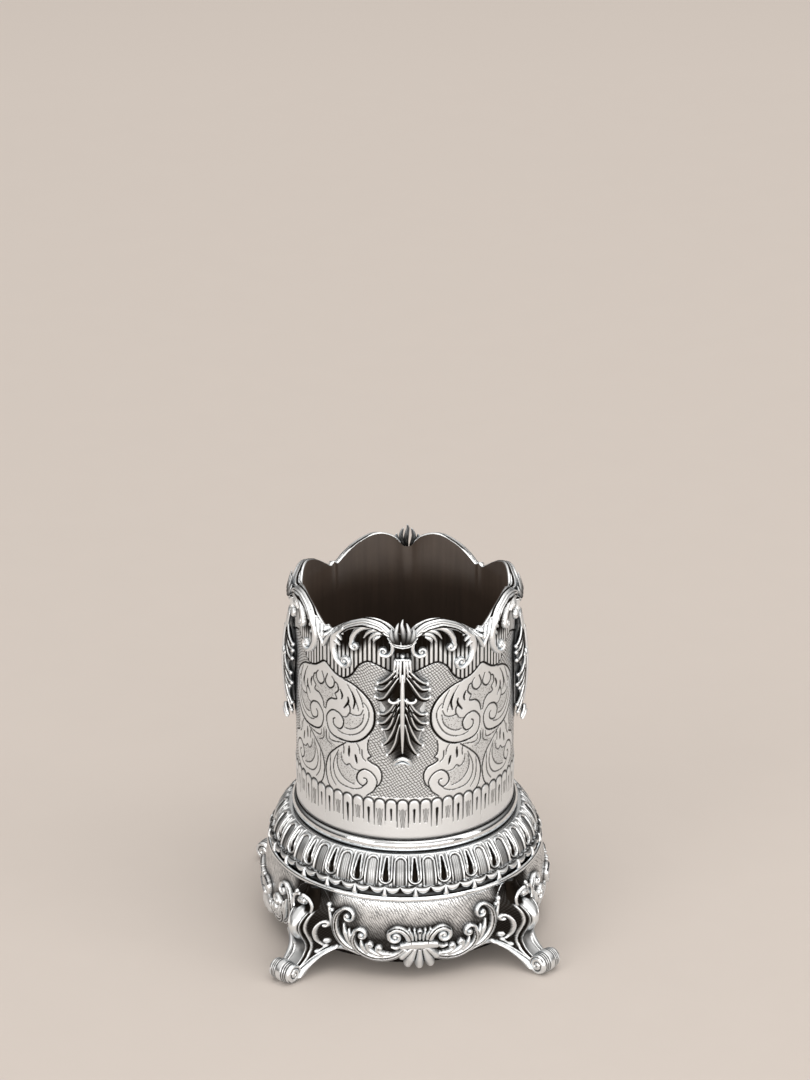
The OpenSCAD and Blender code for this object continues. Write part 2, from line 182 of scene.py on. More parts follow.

# %% [markdown]
# ## Silver
#
# Old silver is polished on every high point and black in the hollows, where the
# cloth never reaches. A painted picture could hold that, but it would have to be
# painted again after every change. Here each piece carries a "patina_and_shade"
# attribute, 0 on the bright tops and 1 in the hollows, which mixes the bright metal
# with a near black: its oxide in small hollows, and painted shade in deep ones,
# under overhangs and where parts meet. Faint clouds and fine scratches keep the
# polish from looking new, and the rim, which hands touch most, is a little duller.

# %% Silver finishes
BRIGHT = (0.905, 0.95, 0.985, 1)
OXIDE_AND_SHADE = (0.011, 0.0084, 0.0064, 1)
CLOUD_SCALE, SCRATCH_SCALE = 55.0, 1400.0


def silver_finish(name, dark_of, rough=0.3, depth=0.00012):
    """Silver whose darkness and height are given by dark_of(finish, place), from 0 to 1."""
    f = Finish(name)
    place = f.node("TexCoord").outputs["Object"]
    cloud = f.noise(place, CLOUD_SCALE, 5.0)
    scratch = f.noise(place, SCRATCH_SCALE, 3.0)
    dark, height = dark_of(f, place)
    dark = (dark + (cloud - 0.5) * 0.2 * (dark + 0.2)).clipped()
    bump = f.node("Bump", None, {"Strength": 0.35, "Distance": depth, "Height": height + scratch * 0.3})
    return f.surface(
        Base_Color=f.colour(dark * (2 - dark), BRIGHT, OXIDE_AND_SHADE),
        Metallic=1.0,
        Roughness=rough + dark * 0.25 + (cloud - 0.5) * 0.1 + (scratch - 0.5) * 0.05,
        Normal=bump.outputs["Normal"],
    )


def from_oxide_and_shade(f, place):
    patina_and_shade = f.mask("patina_and_shade")
    return patina_and_shade, 1 - patina_and_shade


CHASED = silver_finish("chased_silver", from_oxide_and_shade)
WORN = silver_finish("worn_silver", from_oxide_and_shade, rough=0.34)
POLISHED = silver_finish("polished_silver", lambda f, place: (0.03, 0.0), rough=0.1)
print("silver finishes", CHASED.name, WORN.name, POLISHED.name)

# %% [markdown]
# ## Shares
#
# Three small sums come back everywhere: a ramp from 0 to 1, a half circle, and
# values spread along a line. Blender has nodes and curves for them, but here they
# have to work on whole arrays of points at once.


# %% Shares
def ramp(value, start, end):
    """A share that is 0 at the start, 1 at the end and the same beyond."""
    return np.clip((value - start) / (end - start), 0, 1)


def dome(share):
    """A half circle's height over a share of its radius."""
    return np.sqrt(np.clip(1 - share * share, 0, 1))


def spread(values, t):
    """One value, or several spread evenly over 0 to 1, read at t."""
    values = np.atleast_1d(values)
    return np.interp(t, np.linspace(0, 1, len(values)), values)


print("half circle at half way", round(float(dome(0.5)), 3))

# %% [markdown]
# ## Drawing the ornament
#
# The ornament is drawn flat, in millimetres along and up the surface, as a
# chaser would draw it on paper, and then wrapped round. Blender's own curves
# could hold it too, but points in an array are quicker to measure from. A line
# is a smooth curve through a few points. A volute winds on into its eye.


# %% Lines
def line(points, step=0.3):
    """A smooth line through points, with a point about every step."""
    p = np.array(points, float)
    ends = np.vstack([2 * p[0] - p[1], p, 2 * p[-1] - p[-2]])
    made = []
    for a, b, c, d in zip(ends, ends[1:], ends[2:], ends[3:]):
        count = max(2, int(np.linalg.norm(c - b) / step))
        t = np.linspace(0, 1, count, endpoint=False)[:, None]
        bend = (2 * a - 5 * b + 4 * c - d) * t**2 + (3 * b - a - 3 * c + d) * t**3
        made.append(b + 0.5 * ((c - a) * t + bend))
    return np.vstack(made + [p[-1:]])


def volute(points, eye, turns=1.25, closing=0.85):
    """A line that winds from its last point into the eye."""
    p = line(points)
    eye = np.array(eye, float)
    arm, heading = p[-1] - eye, p[-1] - p[-3]
    hand = np.sign(arm[0] * heading[1] - arm[1] * heading[0])
    t = np.linspace(0, 1, int(30 * turns))[1:]
    reach = np.hypot(*arm) * (1 - closing * t)
    angle = math.atan2(arm[1], arm[0]) + hand * 2 * math.pi * turns * t
    return np.vstack([p, eye + np.stack([reach * np.cos(angle), reach * np.sin(angle)], 1)])


def mirrored(hand, points):
    """The same points on the right (1) or the left (-1)."""
    return [(hand * x, z) for x, z in points]


def beside(points, offset, step=0.6, joined_ends=False):
    """A line moved sideways by an offset, to its left where the offset is positive."""
    p = line(points, step)
    heading = np.gradient(p, axis=0)
    heading /= np.linalg.norm(heading, axis=1)[:, None]
    shift = np.full((len(p), 1), float(offset))
    if joined_ends:
        shift *= np.sin(math.pi * np.linspace(0, 1, len(p)))[:, None] ** 0.7
    return p + np.stack([-heading[:, 1], heading[:, 0]], 1) * shift


def level(points):
    """A function that gives the height of a line over any place along it."""
    p = line(points)
    order = np.argsort(p[:, 0])
    return lambda s: np.interp(s, p[order, 0], p[order, 1])


print("drawing helpers ready")

# %% [markdown]
# ## Relief
#
# `Relief` holds a sheet of points with a height each. A ridge raises a rounded
# bar along a line, a groove cuts one, and a bead is a small dome. Sculpting by
# hand would do the same, but a drawing can be corrected line by line. Heights
# join by the larger one, as soldered castings do.


# %% Relief
class Relief:
    """Heights over a flat sheet of points."""

    BURIED = -9.0

    def __init__(self, s, z, ground=0.0):
        self.s, self.z = s, z
        self.h = np.full(len(s), float(ground))
        self.dark = np.zeros(len(s))
        self.masks = {}

    def near(self, path, reach):
        """Points within reach of a path: index, distance, share along, side."""
        low, high = path.min(0) - reach, path.max(0) + reach
        inside = (self.s > low[0]) & (self.s < high[0]) & (self.z > low[1]) & (self.z < high[1])
        at = np.nonzero(inside)[0]
        x, y = self.s[at], self.z[at]
        far = np.full(len(at), 1e9)
        share, side = np.zeros(len(at)), np.zeros(len(at))
        for k, (a, b) in enumerate(zip(path[:-1], path[1:])):
            along = b - a
            size = along @ along
            if size < 1e-12:
                continue
            t = np.clip(((x - a[0]) * along[0] + (y - a[1]) * along[1]) / size, 0, 1)
            dx, dy = x - a[0] - t * along[0], y - a[1] - t * along[1]
            d = dx * dx + dy * dy
            closer = d < far
            far[closer] = d[closer]
            share[closer] = (k + t[closer]) / (len(path) - 1)
            side[closer] = np.sign(along[0] * dy - along[1] * dx)[closer]
        far = np.sqrt(far)
        keep = far < reach
        return at[keep], far[keep], share[keep], side[keep]

    def over(self, path, width):
        """Points under a bar along a path: index, share across, share along, side."""
        path = line(path) if isinstance(path, list) else path
        at, distance, t, side = self.near(path, np.max(width))
        return at, distance / spread(width, t), t, side

    def raise_to(self, at, h, inside):
        self.h[at] = np.maximum(self.h[at], np.where(inside, h, self.BURIED))

    def ridge(self, path, width, height, section="round"):
        """A raised bar. Width and height may be lists that run along it."""
        at, x, t, side = self.over(path, width)
        top = dome(x)
        if section == "rolled":
            top = top * (0.72 + 0.28 * np.cos(2 * math.pi * 1.05 * (x * side + 0.06)))
        if section == "flat":
            top = np.clip((1 - x) * 3.2, 0, 1)
        self.raise_to(at, spread(height, t) * top, x < 1)

    def groove(self, path, width, depth, dark=1.0):
        """A cut line, dark along its middle."""
        at, x, t, side = self.over(path, width)
        cut = np.clip(1 - x**2, 0, 1)
        self.h[at] -= depth * cut
        self.dark[at] = np.maximum(self.dark[at], dark * np.clip(cut * 1.6, 0, 1))

    def bead(self, centre, radius, height):
        d = np.hypot(self.s - centre[0], self.z - centre[1]) / radius
        self.raise_to(slice(None), height * dome(d), d < 1)

    def inside(self, points):
        """Points inside a closed outline."""
        p = line(points + points[:1])
        found = np.zeros(len(self.s), bool)
        for a, b in zip(p[:-1], p[1:]):
            if a[1] != b[1]:
                across = (a[1] > self.z) != (b[1] > self.z)
                found ^= across & (self.s < (b[0] - a[0]) * (self.z - a[1]) / (b[1] - a[1]) + a[0])
        return found


print("relief ready")

# %% [markdown]
# ## From a sheet to a piece
#
# A grid from bmesh is carried onto its surface column by column and row by row.
# A displacement modifier could raise the relief too, but only along the normals,
# and it would leave the sheet open. Here the last rows come back down the
# inside, so that the piece is a closed shell.

# %% Sheets
DRAWING_MM = 100


def mesh_of(bm, name):
    """A mesh that takes over what a bmesh holds."""
    mesh = bpy.data.meshes.new(name)
    bm.to_mesh(mesh)
    bm.free()
    return mesh


def grid_mesh(columns, rows, place, masks=None, plan=None, weld=1e-6):
    """A grid of column and row numbers carried to x, y, z in mm by place(i, j)."""
    bm = bmesh.new()
    bmesh.ops.create_grid(bm, x_segments=columns, y_segments=rows, size=0.5)
    mesh = mesh_of(bm, "sheet")
    co = np.empty(len(mesh.vertices) * 3)
    mesh.vertices.foreach_get("co", co)
    co = co.reshape(-1, 3)
    i = np.rint((co[:, 0] + 0.5) * columns).astype(int)
    j = np.rint((co[:, 1] + 0.5) * rows).astype(int)
    mesh.vertices.foreach_set("co", (np.stack(place(i, j), 1) * MM).astype(np.float32).ravel())
    for name, values in (masks or {}).items():
        attribute = mesh.attributes.new(name, "FLOAT", "POINT")
        attribute.data.foreach_set("value", values[j, i].astype(np.float32).ravel())
    if plan is not None:
        corner = np.empty(len(mesh.loops), int)
        mesh.loops.foreach_get("vertex_index", corner)
        flat = np.stack([plan[0][j, i], plan[1][j, i]], 1)[corner] / DRAWING_MM
        mesh.uv_layers.new(name="drawing").data.foreach_set("uv", flat.astype(np.float32).ravel())
    return close_mesh(mesh, weld)


def close_mesh(mesh, weld=1e-6):
    """Merges the seams, fills the open ends and turns the faces outwards."""
    bm = bmesh.new()
    bm.from_mesh(mesh)
    bmesh.ops.remove_doubles(bm, verts=bm.verts, dist=weld)
    bmesh.ops.dissolve_degenerate(bm, dist=weld, edges=bm.edges)
    bmesh.ops.holes_fill(bm, edges=[e for e in bm.edges if e.is_boundary], sides=0)
    bmesh.ops.recalc_face_normals(bm, faces=bm.faces)
    bm.to_mesh(mesh)
    bm.free()
    mesh.shade_smooth()
    return mesh


print("sheets ready, one drawing unit is", DRAWING_MM, "mm")

# %% [markdown]
# Darkness for the hollows is measured on the finished mesh: a point that lies
# below its smoothed surroundings is in a hollow. Over a few neighbours this finds
# the oxide of small hollows, over many it paints the shade of wide ones. A bake of
# ambient occlusion would find the hollows too, but it needs a render and an image
# for each piece.


# %% Hollows
def hollows(mesh, fine=(3, 0.12), broad=(16, 0.55), start=-0.15):
    """Writes patina_and_shade from how far each point lies below its surroundings, in mm.

    Fine and broad give a number of smoothing rounds and the depth that is fully dark.
    The fine pass finds oxide in small hollows, the broad one paints shade into wide ones.
    """
    n = len(mesh.vertices)
    co, normal = np.empty(n * 3), np.empty(n * 3)
    mesh.vertices.foreach_get("co", co)
    mesh.vertices.foreach_get("normal", normal)
    edge = np.empty(len(mesh.edges) * 2, int)
    mesh.edges.foreach_get("vertices", edge)
    a, b = edge.reshape(-1, 2).T
    co, normal = co.reshape(-1, 3) / MM, normal.reshape(-1, 3)
    count = np.maximum(np.bincount(a, minlength=n) + np.bincount(b, minlength=n), 1)

    def smoothed(values):
        return (np.bincount(a, values[b], n) + np.bincount(b, values[a], n)) / count

    mean, deep = co, np.zeros(n)
    for rounds in range(1, max(fine[0], broad[0]) + 1):
        mean = np.stack([smoothed(mean[:, k]) for k in range(3)], 1)
        for stop, scale in (fine, broad):
            if rounds == stop:
                deep = np.maximum(deep, ((mean - co) * normal).sum(1) / scale + start)
    deep = np.clip(deep, 0, 1)
    old = mesh.attributes.get("patina_and_shade")
    if old:
        kept = np.empty(n, np.float32)
        old.data.foreach_get("value", kept)
        deep = np.maximum(deep, kept)
    else:
        old = mesh.attributes.new("patina_and_shade", "FLOAT", "POINT")
    old.data.foreach_set("value", deep.astype(np.float32))
    return mesh


print("hollows ready")

# %% [markdown]
# A piece rides on one body of the frame and takes the place of the solid that it
# dresses. Most pieces come four times, one to each quarter. An array modifier
# would make one object of them, but most stand for a solid of their own, so one
# mesh is copied and turned.


# %% Pieces
def on_sheet(surface, *fields):
    """A place(i, j) that reads each field there and lets a surface turn them into x, y and z."""
    return lambda i, j: surface(*(field[j, i] for field in fields))


def on_ring(angle, r, z):
    """A place round the upright axis. The angle starts at the front."""
    return r * np.sin(angle), -r * np.cos(angle), z


def piece(name, mesh, body, finish, nodes=()):
    """Puts a mesh into the scene as a piece that rides on a body."""
    mesh.name = name
    mesh.materials.clear()
    mesh.materials.append(finish)
    obj = bpy.data.objects.new(name, mesh)
    bpy.context.scene.collection.objects.link(obj)
    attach(obj, body)
    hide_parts(*nodes)
    return obj


def four_times(name, mesh, body, finish, node, start=0.0, words=SIDES):
    """A piece in each quarter. A star in its name and its node's name is the quarter's word."""
    for k, word in enumerate(words):
        turned = mesh.copy()
        turned.transform(Matrix.Rotation(math.radians(start + 90 * k), 4, "Z"))
        piece(name.replace("*", word), turned, body, finish, [node.replace("*", word)])
    print(name, len(mesh.polygons), "faces each")


print("pieces ready for", len(SIDES), "sides")

# %% [markdown]
# ## Sizes of the sleeve
#
# The sleeve is a tube whose top edge goes up and down: two arches to each
# quarter, with a dip at the corners and another behind the crest. The sizes are
# those of the solids, in millimetres. The edge is drawn once, as it is seen from
# outside, because wall, lining and rim all have to follow it.

# %% Sleeve sizes
SLEEVE_TURN = -5.6
SKIN_R = 47.35
HALF = SKIN_R * math.pi / 4
LIP_DROP, LIP_RISE, LIP_R = 4.2, 2.0, 44.25
rim = level([
    (-2, 160), (0, 159.6), (2.1, 160.2), (4.3, 162.8), (6.8, 164.7), (11.6, 166.3), (16.5, 166.1),
    (21.7, 164.3), (25.3, 162.7), (28.8, 160.6), (33.1, 157.7), (35.2, 156.6), (36.3, 157.2),
    (HALF, 157.8), (39, 157),
])
wavy = level([
    (-1, 138.6), (0, 139), (5.5, 141.5), (8.7, 143.1), (12.1, 144.5), (14.8, 145.1), (17.1, 144.2),
    (19.6, 142.2), (21.4, 139.2), (23.3, 136.8), (25.9, 135.1), (28.3, 135), (31.2, 136), (33.7, 137.6),
    (35.8, 139.2), (HALF, 139.7), (38.6, 139),
])
behind_drop = level([
    (96, -2), (99, 2.6), (104, 4.6), (110, 6), (118, 8.2), (124, 7.4), (131, 9.2), (136, 8.4), (141, 5),
    (148, 3.6), (151, -2),
])
print("half a quarter is", round(HALF, 2), "mm round")

# %% [markdown]
# ## The engraving
#
# Two comma leaves, one over the other, face each drop on either side. Their
# outlines are cut thick, the lines that follow them thin. The ground between
# leaf and drop is cross-hatched, the pockets in the leaves are stippled, and
# the wall above the wavy line is reeded. Round the foot of the sleeve runs a
# row of arched flutes. A picture could carry all this, but lines drawn through a
# few points stay sharp at any size, and each can be moved by itself.

# %% Engraved lines
THICK = [
    [(26.7, 134.3), (22.6, 133.2), (18.9, 131.1), (15.5, 128.1), (13.4, 125), (12.1, 121), (12.4, 115.5),
     (14.4, 111.3), (18.2, 107.4), (23, 105.4), (28, 105.3), (32.5, 106.1), (34.9, 108), (36.1, 111.2)],
    [(24.5, 126.2), (24.4, 123.8), (26.6, 120.6)],
    [(22.6, 129.2), (21.2, 125.2), (21.9, 121.4)],
    [(28.4, 128.8), (27.4, 126.4), (27.8, 124.6)],
    [(24, 103), (24.2, 98.2)],
    [(21, 99.7), (20.3, 95.9)],
]
MEDIUM = [
    [(36.1, 111.2), (36, 114.4), (34.3, 116.9), (32.4, 118.1), (29.7, 117.8), (27.9, 116.5),
     (26.8, 114.5), (27.1, 112), (28.4, 110.3), (30.2, 110.2), (32, 111.4), (32.4, 113.5), (31.4, 114.6)],
    [(25.8, 104.3), (30.2, 100.8), (34.5, 96.3), (36.5, 91.1), (36.5, 86.3), (35.5, 82.7), (34.1, 80.6)],
    [(14.8, 108), (15.3, 104.8), (14.8, 101.7), (13.8, 100.3), (15.3, 98.7), (13.4, 97.2), (10.8, 95.9),
     (9.2, 93.3), (9, 90.2), (10.1, 87.3), (11.6, 85.9), (12.7, 83.8), (15.7, 81.3)],
    [(11.4, 85.9), (11.2, 89), (12.5, 91.6), (14.5, 93.2), (17.1, 93.6), (19.4, 91.9), (20.4, 89.1),
     (19.7, 86.9), (17.6, 85.7), (15.8, 87.2), (15.8, 89), (17, 89.4)],
    [(35.5, 134.2), (36.7, 131.1), (36.3, 129.1), (34.2, 127.9), (32.1, 129.2), (31.6, 131.8),
     (32.9, 133.6)],
    [(31.6, 131.8), (29.9, 130.9), (29.5, 128.1), (31.3, 126.2)],
    [(31.3, 126.2), (30.4, 123.9), (33.4, 123.3), (35.7, 121.1), (36.7, 117.5)],
    [(26.6, 120.6), (24.6, 123), (23.4, 121), (23.7, 118.8)],
]
THIN = [
    [(17.2, 125.3), (15.7, 123.8), (14.6, 120.7), (15.2, 116.7), (17.5, 112.3), (20.6, 109.7),
     (24.2, 108.5), (27.6, 108.6), (29.7, 109.3)],
    [(16.9, 119.9), (17.8, 115.8), (20.2, 113), (23.4, 111.4), (26.2, 111.5)],
    [(27.9, 116.5), (25.3, 116.8), (23.7, 118.8), (21.3, 118.4), (18.6, 119.2), (17.2, 121.8)],
    [(20.4, 131), (18.2, 127), (17.2, 123)],
    [(24.8, 132.4), (22, 128), (20, 123.4), (19.4, 121)],
    [(29.4, 99.9), (31.8, 94.7), (32.3, 90.6), (31.3, 87), (29, 84.5), (25.6, 83.5), (21.5, 83.3),
     (18.4, 84.4), (17.1, 85.8)],
    [(29.8, 98.2), (30.3, 94.1), (29.4, 90.7), (27.2, 87.8), (24.3, 86.2), (21.5, 85.5)],
    [(28.1, 99.1), (27.6, 95.6), (25.5, 93.8), (23.9, 94.7), (22.2, 93.1), (19.4, 92.5)],
    [(17.9, 102.8), (17.6, 99.3), (16.2, 97.7)],
    [(34.9, 106.4), (34.4, 103.8), (31.6, 103.4), (28, 103.9)],
    [(36.4, 107.4), (36.2, 103), (33.4, 101.2)],
    [(33.9, 96), (34.2, 91), (33.4, 86), (31, 82.4)],
    [(20.6, 105.6), (19.2, 103.4), (18.8, 100.6)],
    [(27.4, 104.2), (26.6, 101.4), (26.8, 99)],
]
STIPPLED = [
    [(16.9, 119.9), (17.8, 115.8), (20.2, 113), (23.4, 111.4), (26.2, 111.5), (26.8, 114.5),
     (27.9, 116.5), (25.3, 116.8), (23.7, 118.8), (21.3, 118.4)],
    [(28.1, 99.1), (29.8, 98.2), (30.3, 94.1), (29.4, 90.7), (27.2, 87.8), (24.3, 86.2), (21.5, 85.5),
     (20.4, 89.1), (19.4, 92.5), (22.2, 93.1), (23.9, 94.7), (25.5, 93.8)],
    [(31.3, 126.2), (29.9, 130.9), (31.6, 131.8), (32.1, 129.2), (34.2, 127.9), (38, 130), (38, 118),
     (35.7, 121.1), (33.4, 123.3), (30.4, 123.9)],
    [(38, 110), (36.2, 107.4), (34.9, 103.6), (30.6, 101), (34.5, 96.6), (38, 90)],
]
GROUND_EDGE = [
    (81, 15.7), (83.8, 12.7), (85.9, 11.6), (87.3, 10.1), (90.2, 9), (93.3, 9.2), (95.9, 10.8),
    (97.2, 13.4), (98.7, 15.3), (100.3, 13.8), (101.7, 14.8), (108, 14.8), (111.3, 14.4), (115.5, 12.4),
    (121, 12.1), (125, 13.4), (128.1, 15.5), (131.1, 18.9), (133.2, 22.6), (134.3, 26.7), (150, 27),
]
print("lines", len(THICK), len(MEDIUM), len(THIN), "pockets", len(STIPPLED))

# %% [markdown]
# Flutes and reeding repeat evenly, as a punch or a wheel leaves them. They could
# be drawn line by line too, but a sum over the whole sheet is shorter.

# %% Flutes and reeding
FLUTES, FLUTE_HALF, FLUTE_TOP, FLUTE_SPRING, FLUTE_FOOT = 15, 2.3, 81.6, 78.2, 68.6
FLUTE_HIGH, FLUTE_SLOT_TOP, FLUTE_SLOT_DEEP = 0.32, 76.6, 0.42
REED, REED_HIGH, REED_DARK_FROM, ARCH_S, ARCH_HIGH = 2.05, 0.3, 147, 14, 6


def flutes(r):
    """Arched flutes round the foot of the sleeve, with slots of uneven length."""
    pitch = 2 * HALF / FLUTES
    unit = np.floor((r.s + HALF) / pitch)
    x = np.abs((r.s + HALF) - (unit + 0.5) * pitch)
    end = FLUTE_FOOT + 1.6 * np.sin(unit * 2.4)
    share = ramp(r.z, end, end + 9)
    here = (r.z > end) & (r.z < FLUTE_TOP)
    in_arch = r.z > FLUTE_SPRING
    arch = np.where(in_arch, np.hypot(x, r.z - FLUTE_SPRING), x)
    r.h += np.where(here, FLUTE_HIGH * dome(arch / FLUTE_HALF) * share, 0)
    line_half = np.where(in_arch, 0.62, 0.16 + 0.26 * share)
    outline = np.clip(1 - np.abs(arch - FLUTE_HALF - 0.1) / line_half, 0, 1) * here
    narrow = unit % 2 == 0
    half = np.where(narrow, 0.25 + 0.5 * share, 0.35 + 0.85 * share)
    slot = ramp(x, half, half - 0.25) * ramp(r.z + x, FLUTE_SLOT_TOP, FLUTE_SLOT_TOP - 0.5) * here
    side_line = np.clip(1 - np.abs(x - half - 0.2) / 0.22, 0, 1) * here * ~narrow
    side_line *= r.z < FLUTE_SLOT_TOP - 0.6
    r.h -= FLUTE_SLOT_DEEP * slot * np.where(narrow, 1, 0.4) + 0.3 * outline
    slot_dark = slot * np.where(narrow, 1, 0.3)
    r.dark = np.maximum.reduce([r.dark, outline * 0.97, slot_dark, side_line * 0.7])


def reeding(r, above):
    """Upright bars above the wavy line, painted darker close under the rim's arches, where shade falls behind
    the casting.
    """
    bars = 0.5 + 0.5 * np.cos(2 * math.pi * r.s / REED)
    r.h += np.where(above, REED_HIGH * (np.clip(bars * 2.2 - 0.55, 0, 1) - 0.75), 0)
    under_arch = ARCH_HIGH * np.exp(-(((r.s - ARCH_S) / 3.5) ** 2))
    shade = np.clip((r.z - REED_DARK_FROM - under_arch) / 5, 0, 0.92)
    r.dark = np.where(above, np.clip(1.25 - 2.3 * bars + shade, 0.02 + shade, 1), 0)


print("flutes", 4 * FLUTES, "round the foot")

# %% [markdown]
# The drawn lines become grooves of three depths. Everything here is shallow: a
# graver takes off a quarter of a millimetre, and the black in the cut does the
# rest, so the same line gives both a height and a darkness.

# %% Engraved relief
GROUND_LOW, GROUND_DEPTH = 81.4, 0.14
CUTS = (
    (THICK, [0.34, 0.55, 0.62, 0.5, 0.3], 0.3, 1.0),
    (MEDIUM, [0.3, 0.42, 0.32], 0.22, 0.92),
    (THIN, [0.22, 0.34, 0.24], 0.16, 0.75),
)


def engrave(s, z):
    """One quarter of the wall: heights, darkness, and where hatching and dots go."""
    r = Relief(np.abs(s), z)
    above = z > wavy(r.s)
    reeding(r, above)
    along = np.linspace(0, 38, 160)
    r.groove(np.stack([along, wavy(along)], 1), 0.5, 0.35)
    for paths, widths, depth, dark in CUTS:
        for path in paths:
            r.groove(path, widths, depth, dark)
    edge = np.array(GROUND_EDGE)
    ground = ~above & (r.s < np.interp(z, edge[:, 0], edge[:, 1])) & (z > GROUND_LOW)
    r.h -= np.where(ground, GROUND_DEPTH, 0)
    # Beside the drop the wall is darker: oxide, and the drop's shadow painted on the wall.
    drop_shadow_and_oxide = np.exp(-np.clip((r.s - behind_drop(z)) / 3, 0, 9) ** 2) * (z > 98)
    r.dark = np.maximum(r.dark, 0.42 * drop_shadow_and_oxide)
    pocket = np.zeros(len(s), bool)
    for outline in STIPPLED:
        pocket |= r.inside(outline)
    r.masks = {"hatch": ground * 1.0, "stipple": (pocket & ~ground) * 1.0}
    r.s = s
    flutes(r)
    return r


print("engraving ready,", sum(len(paths) for paths, *_ in CUTS), "lines")

# %% [markdown]
# The hatching is finer than the mesh. More rows would make the mesh too heavy,
# so the material draws it on the sheet's own drawing coordinates: two crossing
# sets of lines in the hatched ground, and small dots in the stippled pockets.

# %% Engraved finish
HATCH_MM = 1.2


def from_engraving(f, place):
    """Oxide and painted shade, with fine hatching in the ground and dots in the pockets."""
    drawing = f.node("UVMap", {"uv_map": "drawing"}).outputs[0]
    s, z = f.axis(drawing, 0), f.axis(drawing, 1)
    wander = f.noise(drawing, 12.0)
    pitch = 2 * math.pi * DRAWING_MM / HATCH_MM
    one = ((s * 0.8 + z * 0.6 + wander * 0.03) * pitch).sine()
    two = ((s * 0.45 - z * 0.89 + wander * 0.03) * pitch).sine()
    lines = ((one - 0.45) * 1.9).clipped().most(((two - 0.5) * 1.9).clipped())
    dots = ((0.42 - f.dots(drawing, 150.0)) * 3.2).clipped()
    stipple = f.mask("stipple") * (dots * 0.45 + 0.06)
    marks = (f.mask("hatch") * (lines * 0.6 + 0.06)).most(stipple)
    dark = f.mask("patina_and_shade").most(marks)
    return dark, 1 - dark


ENGRAVED = silver_finish("engraved_silver", from_engraving, rough=0.42, depth=0.00015)
print("engraved finish", ENGRAVED.name)

# %% [markdown]
# ## The wall of the sleeve
#
# One rolled sheet on the real object, made here in four quarters that meet half
# way between the drops. A picture of the engraving on a plain tube would look
# flat from the side, so the grooves are cut into the mesh. The rows lie closest
# where the drawing is finest.

# %% Sleeve wall
WALL_FOOT, STEP_Z, STEP_R, WALL_INSIDE = 56.1, 61.2, 46.95, 45.6
FINE_FROM, FINE_TO, FINE_STEP, TOP_FROM = 66.9, 134.9, 0.31, 135.1
COLUMNS, TOP_ROWS = 252, 78
plain_rows = [WALL_FOOT, STEP_Z - 0.05, STEP_Z + 0.15, 63, 66.6]
low_rows = np.concatenate([plain_rows, np.arange(FINE_FROM, FINE_TO, FINE_STEP)])
ROWS = len(low_rows) + TOP_ROWS + 2
s_at = np.linspace(-HALF, HALF, COLUMNS + 1)[None, :].repeat(ROWS + 1, 0)
wall_top = rim(np.abs(s_at[0])) - LIP_DROP - 0.5
climb = np.linspace(0, 1, TOP_ROWS)[:, None]
z_at, h_at = np.zeros_like(s_at), np.zeros_like(s_at)
z_at[: len(low_rows)] = low_rows[:, None]
z_at[len(low_rows) : -3] = TOP_FROM + climb * (wall_top - TOP_FROM)
z_at[-3], z_at[-2:] = wall_top, WALL_FOOT
cut = engrave(s_at[:-3].ravel(), z_at[:-3].ravel())
h_at[:-3] = cut.h.reshape(-1, COLUMNS + 1)
r_at = np.where(z_at < STEP_Z, STEP_R, SKIN_R + h_at)
r_at[-3:-1] = WALL_INSIDE
wall_masks = {}
for mask_name, mask in {"patina_and_shade": cut.dark, **cut.masks}.items():
    wall_masks[mask_name] = np.zeros_like(s_at)
    wall_masks[mask_name][:-3] = mask.reshape(-1, COLUMNS + 1)
wall = grid_mesh(COLUMNS, ROWS, on_sheet(on_ring, s_at / SKIN_R, r_at, z_at), wall_masks, (s_at, z_at))
four_times("engraved_wall_*", wall, "sleeve", ENGRAVED, "sleeve_wall", SLEEVE_TURN)

# %% [markdown]
# ## The lining
#
# A dark brown lining stands inside the sleeve and ends in a sharp edge under
# the rim's lip. A cylinder would need its top cut to the rim's line, and a tube
# from a grid can simply follow it. Its stain shows faint upright streaks, a
# noise that is stretched upwards.

# %% Lining
STAIN_DARK, STAIN_LIGHT = (0.022, 0.015, 0.011, 1), (0.075, 0.052, 0.038, 1)
brown = Finish("stained_lining")
place = brown.node("TexCoord").outputs["Object"]
stretched = brown.node("Mapping", None, {"Vector": place, "Scale": (1.0, 1.0, 0.06)}).outputs[0]
streak = brown.noise(stretched, 420.0, 6.0)
stain = (streak * 0.7 + brown.noise(place, 60.0, 4.0) * 0.5 - 0.1).clipped()
LINING = brown.surface(
    Base_Color=brown.colour(stain, STAIN_DARK, STAIN_LIGHT),
    Roughness=0.62 - stain * 0.16,
    Normal=brown.node("Bump", None, {"Strength": 0.3, "Distance": 0.0002, "Height": streak}).outputs[0],
)

AROUND = 480
LINING_IN, LINING_OUT, LINING_FOOT, LINING_BEVEL = 44.0, 45.4, 60.8, 1.2
angle = 2 * math.pi * np.arange(AROUND + 1) / AROUND
round_quarter = (angle + math.pi / 4) % (math.pi / 2) - math.pi / 4
top = rim(np.abs(round_quarter) * SKIN_R) - LIP_RISE
radii = [LINING_OUT, *5 * [LINING_IN], LIP_R, LINING_OUT, LINING_OUT]
heights = [LINING_FOOT, LINING_FOOT, 80, 110, 140, top, top, top - LINING_BEVEL, LINING_FOOT]
z_at = np.stack([height + 0 * top for height in heights])
r_at = np.array(radii)[:, None] + 0 * z_at
angle_at = angle + math.radians(SLEEVE_TURN) + 0 * z_at
lining = grid_mesh(AROUND, len(radii) - 1, on_sheet(on_ring, angle_at, r_at, z_at))
piece("stained_lining", lining, "sleeve", LINING, ["liner_sleeve"])
print("lining", len(lining.polygons), "faces")

# %% [markdown]
# ## The cast rim
#
# Each quarter of the rim is one casting: two C-scrolls that spring from a bowl,
# roll over the edge as a lip and end in volutes. Separate curves with a bevel
# could make the scrolls, but they would cross where a casting flows together, so
# it is made as relief on a sheet. Where there is no scroll the sheet lies under
# the wall, and the reeding shows as it does behind an openwork casting.

